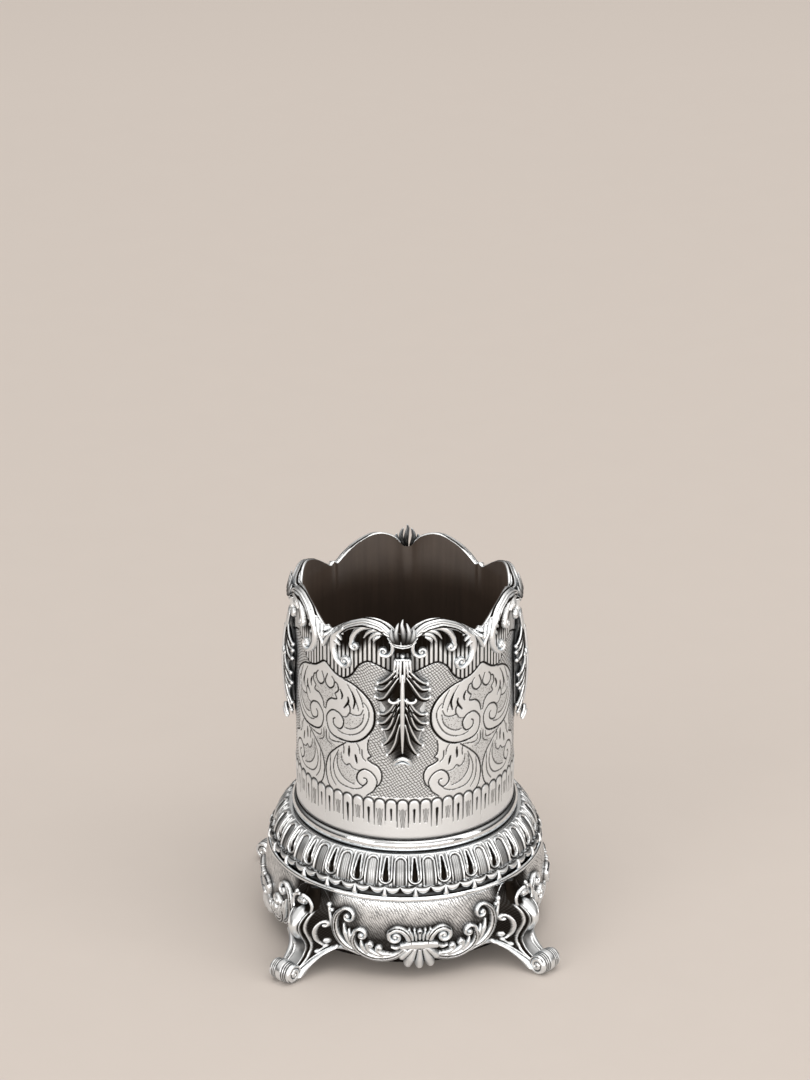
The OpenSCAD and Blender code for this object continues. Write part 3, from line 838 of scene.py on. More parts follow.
# %% Rim scrolls
UNDER_WALL = -0.9
OUTER_ARM = [(4.4, 157.8), (7.4, 161), (11, 163), (16.6, 163.6), (21.7, 162), (25.2, 160.2), (28.2, 157.6)]
OUTER_TAIL = [(27, 158.8), (29.6, 156.2), (31.2, 153), (31.8, 149.6), (31.2, 146), (29.4, 142.9), (27, 141.2)]
INNER_ARM = [(9.6, 161.4), (13.4, 161.9), (17, 161), (19.8, 158.8), (21.6, 155.8), (22.3, 152.8)]
BOWL_ARM = [(4.6, 155.6), (4.1, 153.2), (4.6, 150.6), (6.4, 149), (8.6, 149.2)]
TAIL_EYE, INNER_EYE, BOWL_EYE = (25.4, 143.6), (20.6, 151.9), (8, 151.1)
COMB = (
    [(5.6, 159.6), (8.6, 160.8), (12, 160.6), (14.8, 158.8), (16.6, 156.2)],
    [(5.2, 158), (8, 159.4), (11, 159), (13.2, 157.2), (14.2, 155)],
    [(9.6, 157.8), (11.6, 156.6), (12.2, 154.8)],
)
TORN = (
    [(27.4, 159), (29.2, 156), (30.2, 152.6), (30.4, 149.4)],
    [(29.6, 157.4), (27.8, 157), (26.6, 155.6)],
    [(30.2, 154.8), (28.7, 154.2), (27.5, 152.8)],
    [(30.6, 151.8), (29.4, 151.4), (28.4, 150)],
)
CUSPS = (
    [(30.8, 157.4), (33.4, 154), (35.4, 150.6), (HALF, 147.6)],
    [(33.6, 156.2), (35.3, 153.6), (HALF, 151.2)],
    [(35.3, 157), (36.2, 156), (HALF, 154.8)],
)


def rim_arms(r):
    """The two lines of the lip, and a broad and a narrow arm that end in volutes."""
    along = np.linspace(3.4, HALF + 1, 140)
    for below, width in ((0.55, 0.6), (1.75, 0.55)):
        r.ridge(np.stack([along, rim(along) - below], 1), width, 0.8)
    r.ridge(OUTER_ARM, [1.8, 2.6, 2.9, 2.8, 2.2], 1.1, "flat")
    r.ridge(OUTER_ARM, [1.0, 1.5, 1.7, 1.7, 1.5], 1.8, "rolled")
    for offset in (1.75, -1.7):
        r.groove(beside(OUTER_ARM, offset), 0.38, 0.5)
    tail = volute(OUTER_TAIL, TAIL_EYE, 1.15)
    r.ridge(tail, [1.4, 1.6, 1.55, 1.3, 1.0, 0.75, 0.62], [1.7, 1.8, 1.9, 1.9, 1.8])
    r.bead(TAIL_EYE, 0.85, 2.0)
    inner = volute(INNER_ARM, INNER_EYE, 1.1)
    r.ridge(inner, [0.7, 1.3, 1.4, 1.3, 1.05, 0.72, 0.6], [1.4, 1.7, 1.8, 1.9, 1.8])
    r.bead(INNER_EYE, 0.75, 2.0)


def rim_fingers(r):
    """Leaf fingers under the arms and behind the volutes, and cusps at the corners."""
    for finger in COMB:
        r.ridge(finger, [0.55, 1.0, 1.05, 0.85, 0.4], [1.3, 1.5, 1.5, 1.3, 0.7])
    for finger in TORN:
        r.ridge(finger, [0.7, 0.9, 0.75, 0.35], [1.5, 1.5, 1.3, 0.8])
    for cusp in CUSPS:
        r.ridge(cusp, [0.65, 0.9, 0.85], 1.4)


def rim_bowl(r):
    """The bowl that the crest stands in, its two small scrolls, a bead and a dark neck."""
    arm = volute(BOWL_ARM, BOWL_EYE, 1.1)
    r.ridge(arm, [0.95, 1.0, 0.95, 0.78, 0.62, 0.52], [2.2, 1.9, 1.9, 1.7, 1.8])
    r.bead(BOWL_EYE, 0.6, 1.9)
    r.ridge([(6, 157.6), (3.8, 155.8), (1.8, 155), (-0.6, 154.8)], [0.6, 0.75, 0.75], [2.2, 2.9, 3.1])
    r.ridge([(5.4, 156), (3.2, 154.3), (-0.6, 153.5)], [0.5, 0.6, 0.6], [2.0, 2.6, 2.8])
    r.bead((0, 149.4), 1.2, 2.4)
    # The neck is flat and painted black, for the oxide and the shade of the hollow under the crest.
    neck = r.inside([(-2.7, 150.4), (-2.4, 153), (2.4, 153), (2.7, 150.4)])
    r.h[neck] = np.maximum(r.h[neck], 0.2)
    r.dark[neck & (r.h < 0.5)] = 1


print("rim scrolls ready")

# %% [markdown]
# The scrolls are drawn on half a quarter and mirrored. Towards the top the sheet
# leans inwards over the edge, so that the relief there points upwards and
# becomes the lip. Bending a flat casting afterwards would crease it.

# %% Rim relief
RIM_LOW, RIM_INSIDE, LIP_LEAN = 139.2, 45.8, math.radians(58)
COLUMNS, ROWS = 360, 140
s_at = np.linspace(-HALF, HALF, COLUMNS + 1)[None, :].repeat(ROWS + 4, 0)
edge = rim(np.abs(s_at[0]))
seen = RIM_LOW + np.linspace(0, 1, ROWS + 1)[:, None] * (edge - RIM_LOW)
scrolls = Relief(np.abs(s_at[: ROWS + 1].ravel()), seen.ravel(), UNDER_WALL)
for draw in (rim_arms, rim_fingers, rim_bowl):
    draw(scrolls)
h = scrolls.h.reshape(ROWS + 1, -1)
on_lip = ramp(seen, edge - LIP_DROP, edge)
lean = on_lip**0.7 * LIP_LEAN
fade = ramp(on_lip, 1, 0.9)
solid = np.maximum(h, np.where(on_lip > 0.05, 0.12, UNDER_WALL)) * fade
r_at, z_at, bed = (np.zeros_like(s_at) for _ in range(3))
r_at[: ROWS + 1] = SKIN_R + (LIP_R - SKIN_R) * on_lip + solid * np.cos(lean)
lip_z = edge - LIP_DROP + (LIP_DROP - LIP_RISE) * on_lip
z_at[: ROWS + 1] = np.where(on_lip > 0, lip_z, seen) + solid * np.sin(lean)
r_at[-3:-1], z_at[-3], z_at[-2] = RIM_INSIDE, z_at[ROWS] - 1.9, z_at[0]
r_at[-1], z_at[-1] = r_at[0], z_at[0]
bed[: ROWS + 1] = np.maximum(np.clip((0.4 - h) * 1.4, 0, 1), scrolls.dark.reshape(h.shape)) * fade
rim_mesh = grid_mesh(COLUMNS, ROWS + 3, on_sheet(on_ring, s_at / SKIN_R, r_at, z_at), {"patina_and_shade": bed})
hollows(rim_mesh, (3, 0.14), (18, 0.7), -0.15)
print("rim relief", len(rim_mesh.polygons), "faces")

# %% [markdown]
# The crest over the bowl is a small palmette of flame-shaped petals. A curve with
# a bevel keeps one section and only scales it. A petal is a rod of its own: a grid
# rolled round a line, with its width and its thickness each given along it, and
# closed at its ends.


# %% Rods
def rod(bm, path, out, widths, thick, sides=10, patina_and_shade=0.0):
    """A flattened tube along a line of points, lying in the surface that out points away from."""
    path, out = np.array(path, float), np.array(out, float)
    n = len(path) - 1
    heading = np.gradient(path, axis=0)
    heading /= np.linalg.norm(heading, axis=1)[:, None] + 1e-12
    across = np.cross(heading, out)
    across /= np.linalg.norm(across, axis=1)[:, None] + 1e-12
    t = np.linspace(0, 1, n + 1)
    past_end = np.clip(np.abs(t - 0.5) - 0.5 + 2.0 / n, 0, 1) * n / 2
    rounded = np.sqrt(np.clip(1 - past_end**2, 0.0004, 1))
    w, b, shade = spread(widths, t) * rounded, spread(thick, t) * rounded, spread(patina_and_shade, t)
    mark = bm.verts.layers.float.get("patina_and_shade") or bm.verts.layers.float.new("patina_and_shade")
    made = bmesh.ops.create_grid(bm, x_segments=sides, y_segments=n, size=0.5)["verts"]
    for v in made:
        a = 2 * math.pi * (v.co.x + 0.5)
        k = int(round((v.co.y + 0.5) * n))
        v.co = Vector((path[k] + across[k] * w[k] * math.cos(a) + out[k] * b[k] * math.sin(a)) * MM)
        v[mark] = shade[k]


def rods_mesh(bm):
    return close_mesh(mesh_of(bm, "rods"), 2e-6)


def joined(*meshes):
    """One mesh from several."""
    bm = bmesh.new()
    for mesh in meshes:
        bm.from_mesh(mesh)
    whole = mesh_of(bm, "joined")
    whole.shade_smooth()
    return whole


def sleeve_line(points, radius, turn_r=SKIN_R):
    """Points drawn on the sleeve as places in space, with the directions out of it."""
    p = line(points, 0.5)
    angle = p[:, 0] / turn_r
    if callable(radius):
        radius = radius(p[:, 0], p[:, 1])
    else:
        radius = spread(radius, np.linspace(0, 1, len(p)))
    out = np.stack(on_ring(angle, 1.0, 0 * angle), 1)
    return np.stack(on_ring(angle, radius, p[:, 1]), 1), out


print("rods ready")

# %% [markdown]
# The middle petal stands alone and the others come in pairs. Each is painted
# darker towards its foot, where it is soldered into the bowl: shade down in the bowl.

# %% Crest
PETALS = (
    [(0, 154.8), (0.5, 158), (0.2, 161.6), (-0.3, 164.4), (0.2, 166.6)],
    [(1, 155), (2.2, 157.4), (2.7, 160.4), (2.2, 163.2), (1.6, 164.8)],
    [(2, 155.4), (3.8, 157.2), (4.6, 159.8), (4.6, 162.2)],
)
crest = bmesh.new()
for petal in PETALS:
    in_middle = petal[0][0] == 0
    for hand in (1,) if in_middle else (1, -1):
        path, out = sleeve_line(mirrored(hand, petal), [49.4, 50.0, 49.4, 48.4])
        widths, thick = [0.6, 1.05, 1.1, 0.8, 0.3], [0.9, 1.0, 0.8, 0.5, 0.3]
        rod(crest, path, out, widths, thick, patina_and_shade=[0.95, 0.7, 0.3, 0.1])
rim_mesh = joined(rim_mesh, hollows(rods_mesh(crest)))
four_times("cast_rim_border_*", rim_mesh, "sleeve", WORN, "rim_border_*", SLEEVE_TURN)

# %% [markdown]
# ## The leaf drops
#
# A long palmette hangs under each crest and stands clear of the wall. It was
# cast and filed, and relief on the wall could not stand off like that. So its
# ribs are rods that spread from the stem, each a pair of strands with one knob at
# the tip, over a dark plate that joins them. The tip curls outwards.

# %% Drop shape
BOW_R, BOW_X, BOW_Z = 110.0, -57.8, 123.4
DROP_R, DROP_SAG, DROP_HALF, STRAND = 51.0, 2.4, 11.0, 0.72
DROP_LOW, DROP_TOP = 98.6, 148.2
RIBS = [
    [(1.4, 144.6), (3.6, 141.6), (6.0, 138.8), (8.8, 136.8), (11.1, 136.2)],
    [(1.4, 142.8), (3.6, 139.4), (5.9, 136.2), (8.5, 133.8), (11.9, 133.6)],
    [(1.4, 140.6), (3.3, 137), (5.3, 133.4), (7.5, 130.4), (10.2, 129.2), (12.1, 130)],
    [(1.2, 131.4), (3, 128.1), (4.8, 125), (7.7, 122.6), (10.5, 122.5)],
    [(1.2, 129.6), (2.7, 126.4), (4.8, 122), (7.7, 118.6), (10.9, 117.9)],
    [(1.1, 127.6), (2.6, 123.6), (4.1, 118.8), (6.2, 116), (8.8, 115.4)],
    [(1, 124.4), (2.2, 119.6), (3.4, 115), (5.9, 110.2), (8.9, 107.4)],
    [(0.9, 119.4), (1.6, 114.6), (2.4, 109.9), (4.5, 105.4), (6.8, 102.9)],
]
CROSS = [(0.9, 130.9), (2.4, 129.5), (4.2, 129.1), (5.6, 129.9), (5.4, 131)]
STEM = [(0, 142), (0, 134), (0, 124), (0, 114), (0, 104.4)]
UPRIGHTS = ((3.3, 3.9, 141.4), (2.0, 2.4, 140.2), (0.8, 0.9, 138))


def drop_r(s, z):
    """Radius of the drop's front: bowed up and down, and falling to the wall at its sides."""
    bow = BOW_X + np.sqrt(BOW_R**2 - (z - BOW_Z) ** 2)
    return bow - DROP_SAG * np.clip(np.abs(s) / DROP_HALF, 0, 1) ** 2


def drop_rod(bm, points, lift, widths, thick, patina_and_shade=0.0, sides=8):
    """A rod on the drop's front, raised by lift. Gives back the place of its tip."""
    path, out = sleeve_line(points, lambda s, z: drop_r(s, z) + lift, DROP_R)
    rod(bm, path, out, widths, thick, sides, patina_and_shade)
    return path[-1]


def knob(bm, at, size):
    spot = Matrix.Translation(Vector(at) * MM)
    bmesh.ops.create_uvsphere(bm, u_segments=8, v_segments=6, radius=size * MM, matrix=spot)


print("drop front at", round(float(drop_r(0, BOW_Z)), 1), "mm from the axis")

# %% [markdown]
# Each rib is a dark core with a bright strand on either side. The uprights at the
# top, the stem and the cross-pieces are single rods, and the tip is two arches, one
# before the other. They are the crest's rods again, because here too width and
# thickness change apart from each other.

# %% Drop ribs
drop = bmesh.new()
for hand in (1, -1):
    for rib in RIBS:
        drop_rod(drop, mirrored(hand, rib), -0.35, [0.4, 0.7, 0.75, 0.6], [0.35, 0.4, 0.35], 0.75, 6)
        for offset in (STRAND, -STRAND):
            strand = beside(mirrored(hand, rib), offset, 1.0, True)
            tip = drop_rod(drop, strand, -0.1, [0.36, 0.46, 0.5], [0.5, 0.6, 0.65], 0.0, 6)
        knob(drop, tip, 0.95)
    drop_rod(drop, mirrored(hand, CROSS), 0.35, [0.5, 0.75, 0.7, 0.65, 0.6], [0.6, 0.7, 0.7, 0.6])
    for top_s, low_s, end in UPRIGHTS:
        upright = mirrored(hand, [(top_s, DROP_TOP), (top_s + 0.05, 145.6), (low_s, end)])
        drop_rod(drop, upright, 0.2, [0.62, 0.66, 0.5, 0.25], [0.6, 0.6, 0.5, 0.3], 0.06)
drop_rod(drop, STEM, 0.3, [0.7, 1.05, 1.0, 1.0, 0.75, 0.35], [0.9, 0.9, 0.7])
drop_rod(drop, [(-3.6, 147.9), (0, 148.1), (3.6, 147.9)], 0.1, [0.55, 0.6, 0.55], [0.8, 0.8, 0.8], 0.05)
for width, lift, fall in ((0.95, 1.4, 0), (0.4, 2.1, 1.7)):
    arm = [(4.1, 98.4 - fall / 3), (2.5, 101.2 - fall)]
    arch = mirrored(-1, arm) + [(0, 102.6 - fall)] + arm[::-1]
    drop_rod(drop, arch, lift, [0.5, width, width, width, 0.5], [0.6, 1.0, 1.1, 1.0, 0.6], 0.02)
drop_ribs = hollows(rods_mesh(drop))
print("drop ribs", len(drop_ribs.polygons), "faces")

# %% [markdown]
# The plate behind the ribs closes the gaps between them, and its dark is painted
# shade between the ribs. It could be cut from a solid, but a grid is narrow and
# wide as easily: it widens at the two whorls of ribs, and its outline is a little
# lighter.

# %% Drop plate
PLATE_C, PLATE_R = 28, 60
leaf_half = level([
    (98.4, 3.6), (101, 4.2), (104, 5.2), (107, 7), (110, 6.6), (114, 7.6), (118, 9.6), (122, 9.4), (125, 7.2),
    (128, 9.2), (131, 10.6), (134, 10.8), (137, 9), (140, 5.8), (143, 3.8), (148.4, 3.5),
])
row = np.arange(2 * PLATE_R + 2)[:, None]
back = row > PLATE_R
share = np.linspace(-1, 1, PLATE_C + 1)[None, :]
z_at = DROP_LOW + (DROP_TOP - DROP_LOW) * np.where(back, 2 * PLATE_R + 1 - row, row) / PLATE_R + 0 * share
s_at = share * leaf_half(z_at)
r_at = drop_r(s_at, z_at) - np.where(back, 1.7, 0.6)
r_at = np.where(back & (np.abs(z_at - BOW_Z) > 17), np.minimum(r_at, 47.5), r_at)
streak = 0.08 * np.sin(z_at * 3.1 + np.abs(s_at) * 2.2)
# Painted shade: the plate is dark between the ribs and darker still at the two eyes; its outline is a little
# lighter.
eye_shade = np.exp(-(((np.abs(s_at) - 2.6) / 1.5) ** 2) - ((z_at - 133.8) / 2.6) ** 2)
bed = np.clip(0.9 + streak - 0.52 * np.abs(share) ** 2.4 + 0.3 * eye_shade, 0, 1)
plate = grid_mesh(PLATE_C, 2 * PLATE_R + 1, on_sheet(on_ring, s_at / DROP_R, r_at, z_at), {"patina_and_shade": bed})
four_times("leaf_drop_ribbed_*", joined(drop_ribs, plate), "sleeve", CHASED, "leaf_drop_*", SLEEVE_TURN)

# %% [markdown]
# ## Gadroons on the shoulder
#
# The sloping shoulder carries 28 units: a tongue with a round top, open below,
# and between two tongues a loop with a round foot, open above, round a black
# slot. One modelled unit and an array would do, but one ring-shaped sheet has no
# seams. The slope is bowed, so heights are added along its own direction
# outwards, and each line is a rounded bar at a distance from a long round shape.

# %% Gadroon lines
UNITS, UNIT, TONGUE_HALF, LINE_AT, LINE_HALF = 28, 12.1, 2.95, 0.42, 0.44
SLOT_TOP, SLOT_FOOT, SLOT_FLOOR = 1.6, 12, 0.05
LOOP_FOOT, TONGUE_TOP, BEYOND = 13.0, 0.8, 9
BULGE, SUNK, LINE_HIGH, SLOT_DEEP, STREAK = 1.5, 0.3, 0.95, 1.1, 0.85
TOP_P, LOW_P = np.array([50.4, 56.0]), np.array([57.3, 43.9])
slope = LOW_P - TOP_P
slope_len = np.linalg.norm(slope)
slope_out = np.array([-slope[1], slope[0]]) / slope_len


def lozenge(across, along, half, top, low):
    """Distance inside a long shape with round ends, below zero outside."""
    near_top = np.where(along < top + half, np.hypot(across, along - top - half), np.abs(across))
    both = np.where(along > low - half, np.hypot(across, along - low + half), near_top)
    return half - both


def bar(distance, middle, half):
    """A rounded bar where a distance has its middle, 0 to 1."""
    return dome((distance - middle) / half)


def gadroons_at(turn, down):
    """Height and darkness at a number of units round the ring and a share down the slope."""
    slot_x = (turn + 0.5) % 1.0 * UNIT - UNIT / 2
    tongue_x = turn % 1.0 * UNIT - UNIT / 2
    y = down * slope_len + 0 * slot_x
    slot_in = lozenge(slot_x, y, 0.35 + 0.8 * ramp(y, 2, 10.5), SLOT_TOP, SLOT_FOOT)
    loop_in = lozenge(slot_x, y, TONGUE_HALF, -BEYOND, LOOP_FOOT)
    tongue_in = lozenge(tongue_x, y, TONGUE_HALF, TONGUE_TOP, slope_len + BEYOND)
    in_tongue = tongue_in > 2 * LINE_AT + 0.01
    streaks = np.cos(tongue_x * 2 * math.pi / STREAK)
    ground = BULGE * np.sin(math.pi * down) ** 0.8 - SUNK
    outlines = np.maximum(bar(loop_in, LINE_AT, LINE_HALF), bar(tongue_in, LINE_AT, LINE_HALF))
    slot_edge = 0.8 * bar(slot_in, -LINE_AT, 0.4) * ramp(y, 10.2, 8.7)
    h = ground + LINE_HIGH * np.maximum(outlines, slot_edge)
    h = np.where(in_tongue, ground - 0.05 + 0.08 * streaks, h)
    slot_h = np.maximum(ground - SLOT_DEEP * ramp(slot_in, 0, 1 / 3), SLOT_FLOOR)
    h = np.where(slot_in > 0, slot_h, h)
    slot_dark = np.clip(slot_in * 7 + 0.6, 0, 1)
    line_dark = 0.95 * bar(np.maximum(loop_in, tongue_in), -0.08, 0.3) * ramp(y, 1.2, 3.2)
    loop_dark = 0.55 * np.minimum(ramp(loop_in, 0.85, 1.05), ramp(slot_in, -0.8, -1.0))
    uneven = 0.5 + 0.5 * np.sin(np.floor(turn) * 2.4)
    channel = 0.17 + 0.16 * uneven - 0.14 * streaks + 0.25 * np.clip(down - 0.3, 0, 1)
    tongue_dark = np.where(in_tongue, channel + 0.6 * bar(tongue_in, 1.1, 0.32), 0)
    dark = np.maximum.reduce([slot_dark, line_dark, loop_dark, tongue_dark])
    return h * ramp(np.minimum(down, 1 - down), 0, 1 / 14), dark * ramp(down, 0, 1 / 9)


print("a unit is", round(slope_len, 2), "mm long")

# %% [markdown]
# The sheet runs down the slope with the heights added, and a few plain rows
# bring it up again inside, so that the ring is closed.

# %% Gadroon band
UNIT_C, SLOPE_R, INNER_R = 44, 46, 4
around = np.arange(UNITS * UNIT_C + 1)
down = np.linspace(0, 1, SLOPE_R + 1)[:, None]
h, dark = gadroons_at(around[None, :] / UNIT_C, down)
rows = SLOPE_R + INNER_R
r_at, z_at, bed = (np.zeros((rows + 1, len(around))) for _ in range(3))
r_at[: SLOPE_R + 1] = TOP_P[0] + slope[0] * down + slope_out[0] * h + 0.25
z_at[: SLOPE_R + 1] = TOP_P[1] + slope[1] * down + slope_out[1] * h
bed[: SLOPE_R + 1] = dark
for k in range(INNER_R - 1):
    inside = TOP_P + slope * (1 - k / (INNER_R - 2)) - (0.55, 0.35)
    r_at[SLOPE_R + 1 + k], z_at[SLOPE_R + 1 + k] = inside
r_at[-1], z_at[-1] = r_at[0], z_at[0]
angle_at = 2 * math.pi * around / (UNITS * UNIT_C) + 0 * r_at
gadroons = grid_mesh(UNITS * UNIT_C, rows, on_sheet(on_ring, angle_at, r_at, z_at), {"patina_and_shade": bed})
piece("gadroon_band_chased", hollows(gadroons, (3, 0.3), (12, 1.2), -0.1), "base", CHASED, ["gadroon_band"])
print("gadroons", len(gadroons.polygons), "faces")

# %% [markdown]
# ## The leaf edge
#
# Under the gadroons hangs a row of 56 half-round leaves, with a small flared
# petal between every other pair. Each leaf is a pillow of a few columns on one
# ring-shaped sheet, again so that the ring has no seams. The petals are rods.

# %% Leaf edge
LEAVES, LEAF_C, LEAF_R = 56, 14, 10
LEAF_TOP, LEAF_FRONT, LEAF_BACK = 44.5, 57.4, 57.1
HANG_LEAST, HANG_MORE, SWELL_LEAST, SWELL_MORE = 0.7, 2.9, 0.9, 1.5
FLARED = [(58.9, 44.2), (59.3, 42.6), (59.5, 41.2), (59.3, 40.1)]
around = np.arange(LEAVES * LEAF_C + 1)
across = ((around / LEAF_C) % 1.0) * 2 - 1
down = np.linspace(0, 1, LEAF_R + 1)[:, None]
hang = HANG_LEAST + HANG_MORE * np.clip(1 - across**2, 0, 1) ** 0.75
swell = np.sqrt(np.clip(1 - down**5 * 0.98, 0, 1)) * (0.35 + 0.65 * ramp(down, 0, 1 / 3))
rows = LEAF_R + 2
r_at, z_at, bed = (np.zeros((rows + 1, len(around))) for _ in range(3))
r_at[: LEAF_R + 1] = LEAF_FRONT + (SWELL_LEAST + SWELL_MORE * dome(across * 0.98)) * swell
z_at[: LEAF_R + 1] = LEAF_TOP - down * hang
# Painted shade: dark between the leaves, along their tops under the gadroons and at their lower tips.
shade_between_leaves = np.clip((np.abs(across) - 0.72) * 6, 0, 1) * ramp(down, 1 / 3, 2 / 3)
shade_at_top_and_tip = np.maximum(0.85 * ramp(down, 0.25, 0.125), np.clip((down - 0.8) * 7, 0, 1))
bed[: LEAF_R + 1] = np.maximum(shade_between_leaves, shade_at_top_and_tip)
r_at[-2], z_at[-2] = LEAF_BACK, LEAF_TOP
r_at[-1], z_at[-1] = r_at[0], z_at[0]
angle_at = 2 * math.pi * around / (LEAVES * LEAF_C) + 0 * r_at
leaves = grid_mesh(LEAVES * LEAF_C, rows, on_sheet(on_ring, angle_at, r_at, z_at), {"patina_and_shade": bed})
petals = bmesh.new()
radius, height = line(FLARED).T
for k in range(LEAVES // 2):
    angle = np.full(len(radius), 4 * math.pi * k / LEAVES)
    out = np.stack(on_ring(angle, 1.0, 0 * angle), 1)
    rod(petals, np.stack(on_ring(angle, radius, height), 1), out, [0.5, 0.6, 0.95, 1.5], [0.8, 0.9, 1])
leaves = joined(leaves, hollows(rods_mesh(petals)))
piece("leaf_edge_chased", leaves, "base", CHASED, ["leaf_edge_ring"])
print("leaf edge", len(leaves.polygons), "faces")

# %% [markdown]
# ## Plain solids
#
# Rings, floor, studs and nuts already have their shape, so they keep the solid
# and get a finish. Their painted shade needs no mesh of its own: the skirt is
# painted dark behind the leaves, and the collar beside the sleeve and at its foot,
# so height and radius are enough to find them.


# %% Shaded finishes
def by_height(f, place):
    return f.axis(place, 2)


def by_radius(f, place):
    flat = f.node("VectorMath", {"operation": "MULTIPLY"}, {0: place, 1: (1, 1, 0)}).outputs[0]
    return f.number("VectorMath", "Value", {"operation": "LENGTH"}, {0: flat})


def graded(f, place, measure, low, high, dark_low, dark_high):
    """Painted shade that runs from one height or radius to another, for plain solids."""
    share = ((measure(f, place) - low * MM) * (1 / (high - low) / MM)).clipped()
    return share * (dark_high - dark_low) + dark_low


def from_skirt(f, place):
    """Painted shade behind the leaves, half bright below them and bright on the ledge above."""
    rising = graded(f, place, by_height, 39, 41.4, 0.4, 1)
    falling = graded(f, place, by_height, 43.6, 46, 0.97, 0.05)
    return rising * falling, 0.0


def from_collar(f, place):
    """Painted shade beside the sleeve and in the corner at the ring's foot."""
    by_sleeve = graded(f, place, by_radius, 47.6, 48.4, 0.97, 0.03)
    at_foot = graded(f, place, by_height, 56.2, 57.3, 0.9, 0.03)
    return by_sleeve.most(at_foot), 0.0


SKIRT = silver_finish("shaded_silver", from_skirt, rough=0.16)
COLLAR = silver_finish("collar_silver", from_collar, rough=0.1)
print("shaded finishes", SKIRT.name, COLLAR.name)

# %% [markdown]
# The studs, the washer and the nuts are steel from a lathe. A picture of its marks
# would have to be unwrapped onto each of them. A noise that is squeezed along the
# upright axis gives fine uneven lines, much like those marks. One table then says
# which finish each plain solid gets.

# %% Plain solids
steel = Finish("turned_steel")
place = steel.node("TexCoord").outputs["Object"]
squeezed = steel.node("Mapping", None, {"Vector": place, "Scale": (1.0, 1.0, 14.0)}).outputs[0]
turned_lines = steel.noise(squeezed, 300.0)
STEEL = steel.surface(
    Base_Color=steel.colour(turned_lines, (0.42, 0.42, 0.43, 1), (0.6, 0.6, 0.61, 1)),
    Metallic=1.0,
    Roughness=0.32 + turned_lines * 0.2,
)
PLAIN = {
    POLISHED: ("sleeve_floor", "band_ring"),
    COLLAR: ("collar_ring",),
    SKIRT: ("shoulder",),
    LINING: ("liner_floor",),
    STEEL: ("centre_stud", "centre_washer", "centre_nut", "foot_studs", "foot_nuts"),
}
for finish, nodes in PLAIN.items():
    for node in nodes:
        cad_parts[node].data.materials.clear()
        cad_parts[node].data.materials.append(finish)
print("plain solids", sum(len(nodes) for nodes in PLAIN.values()))

# %% [markdown]
# ## Scrollwork on the apron
#
# The apron bellies out, so its ornament is drawn on a sheet that follows the
# belly. A shrinkwrap modifier could lay a flat casting on it, but a formula for
# the belly keeps the back of the casting inside the apron as well.

# %% Apron surface
BELLY_R, BELLY_Z, CURVE_X, CURVE_R = 61.3, 26.0, 21.3, 40.0
APRON_HALF = BELLY_R * math.pi / 4
APRON_LOW, APRON_TOP = 9.0, 37.6
HOLLOW_S, HOLLOW_Z, HOLLOW_R = 32.1, 3.9, 9.0
CASTING_BACK, CASTING_BACK_R = -1.2, 7


def on_apron(s, z, h):
    """A place on the apron's belly, h above its surface."""
    nz = np.clip((z - BELLY_Z) / CURVE_R, -0.95, 0.95)
    nr = np.sqrt(1 - nz * nz)
    r = CURVE_X + (CURVE_R + h) * nr
    return on_ring(s / BELLY_R, r, BELLY_Z + (CURVE_R + h) * nz)


def apron_relief(s_low, s_high, z_low, z_high, draw, cell=0.25, bury=-0.5):
    """Relief between four sides of the drawing, as a closed casting on the apron."""
    columns, up = int((s_high - s_low) / cell), int((z_high - z_low) / cell)
    back = CASTING_BACK_R
    s = np.linspace(s_low, s_high, columns + 1)[None, :].repeat(up + back + 1, 0)
    z = np.zeros_like(s)
    z[: up + 1] = np.linspace(z_low, z_high, up + 1)[:, None]
    z[up + 1 :] = np.concatenate([np.linspace(z_high, z_low, back - 1), [z_low]])[:, None]
    r = Relief(s[: up + 1].ravel(), z[: up + 1].ravel(), bury)
    draw(r)
    h = np.full_like(s, CASTING_BACK)
    h[: up + 1] = r.h.reshape(up + 1, -1)
    h[-1] = h[0]
    bed = np.zeros_like(s)
    bed[: up + 1] = np.maximum(np.clip((0.9 - h[: up + 1]) * 1.4, 0, 1), r.dark.reshape(up + 1, -1))
    mesh = grid_mesh(columns, up + back, on_sheet(on_apron, s, z, h), {"patina_and_shade": bed})
    return hollows(mesh, (3, 0.22), (14, 0.9), -0.12)


print("a side of the apron is", round(2 * APRON_HALF, 1), "mm long")

# %% [markdown]
# A cartouche sits in the middle of each side: a strap between two volutes, a
# crown above and a fan tail below. Half of it is drawn and mirrored, which keeps
# both halves alike. It stands a little to the right of the middle, as on the real
# object.

# %% Cartouches
CARTOUCHE_S, CARTOUCHE_HALF, CARTOUCHE_LOW, CARTOUCHE_TOP = 1.6, 15, 5.8, 28
STRAP = [(-7.6, 18), (-4, 18.5), (4, 18.6), (7.0, 18.2)]
VOLUTE = [(4.2, 19.6), (5.0, 22.4), (7.2, 25), (10.2, 25.7), (12.8, 24.1)]
VOLUTE_EYE = (10.4, 22.2)


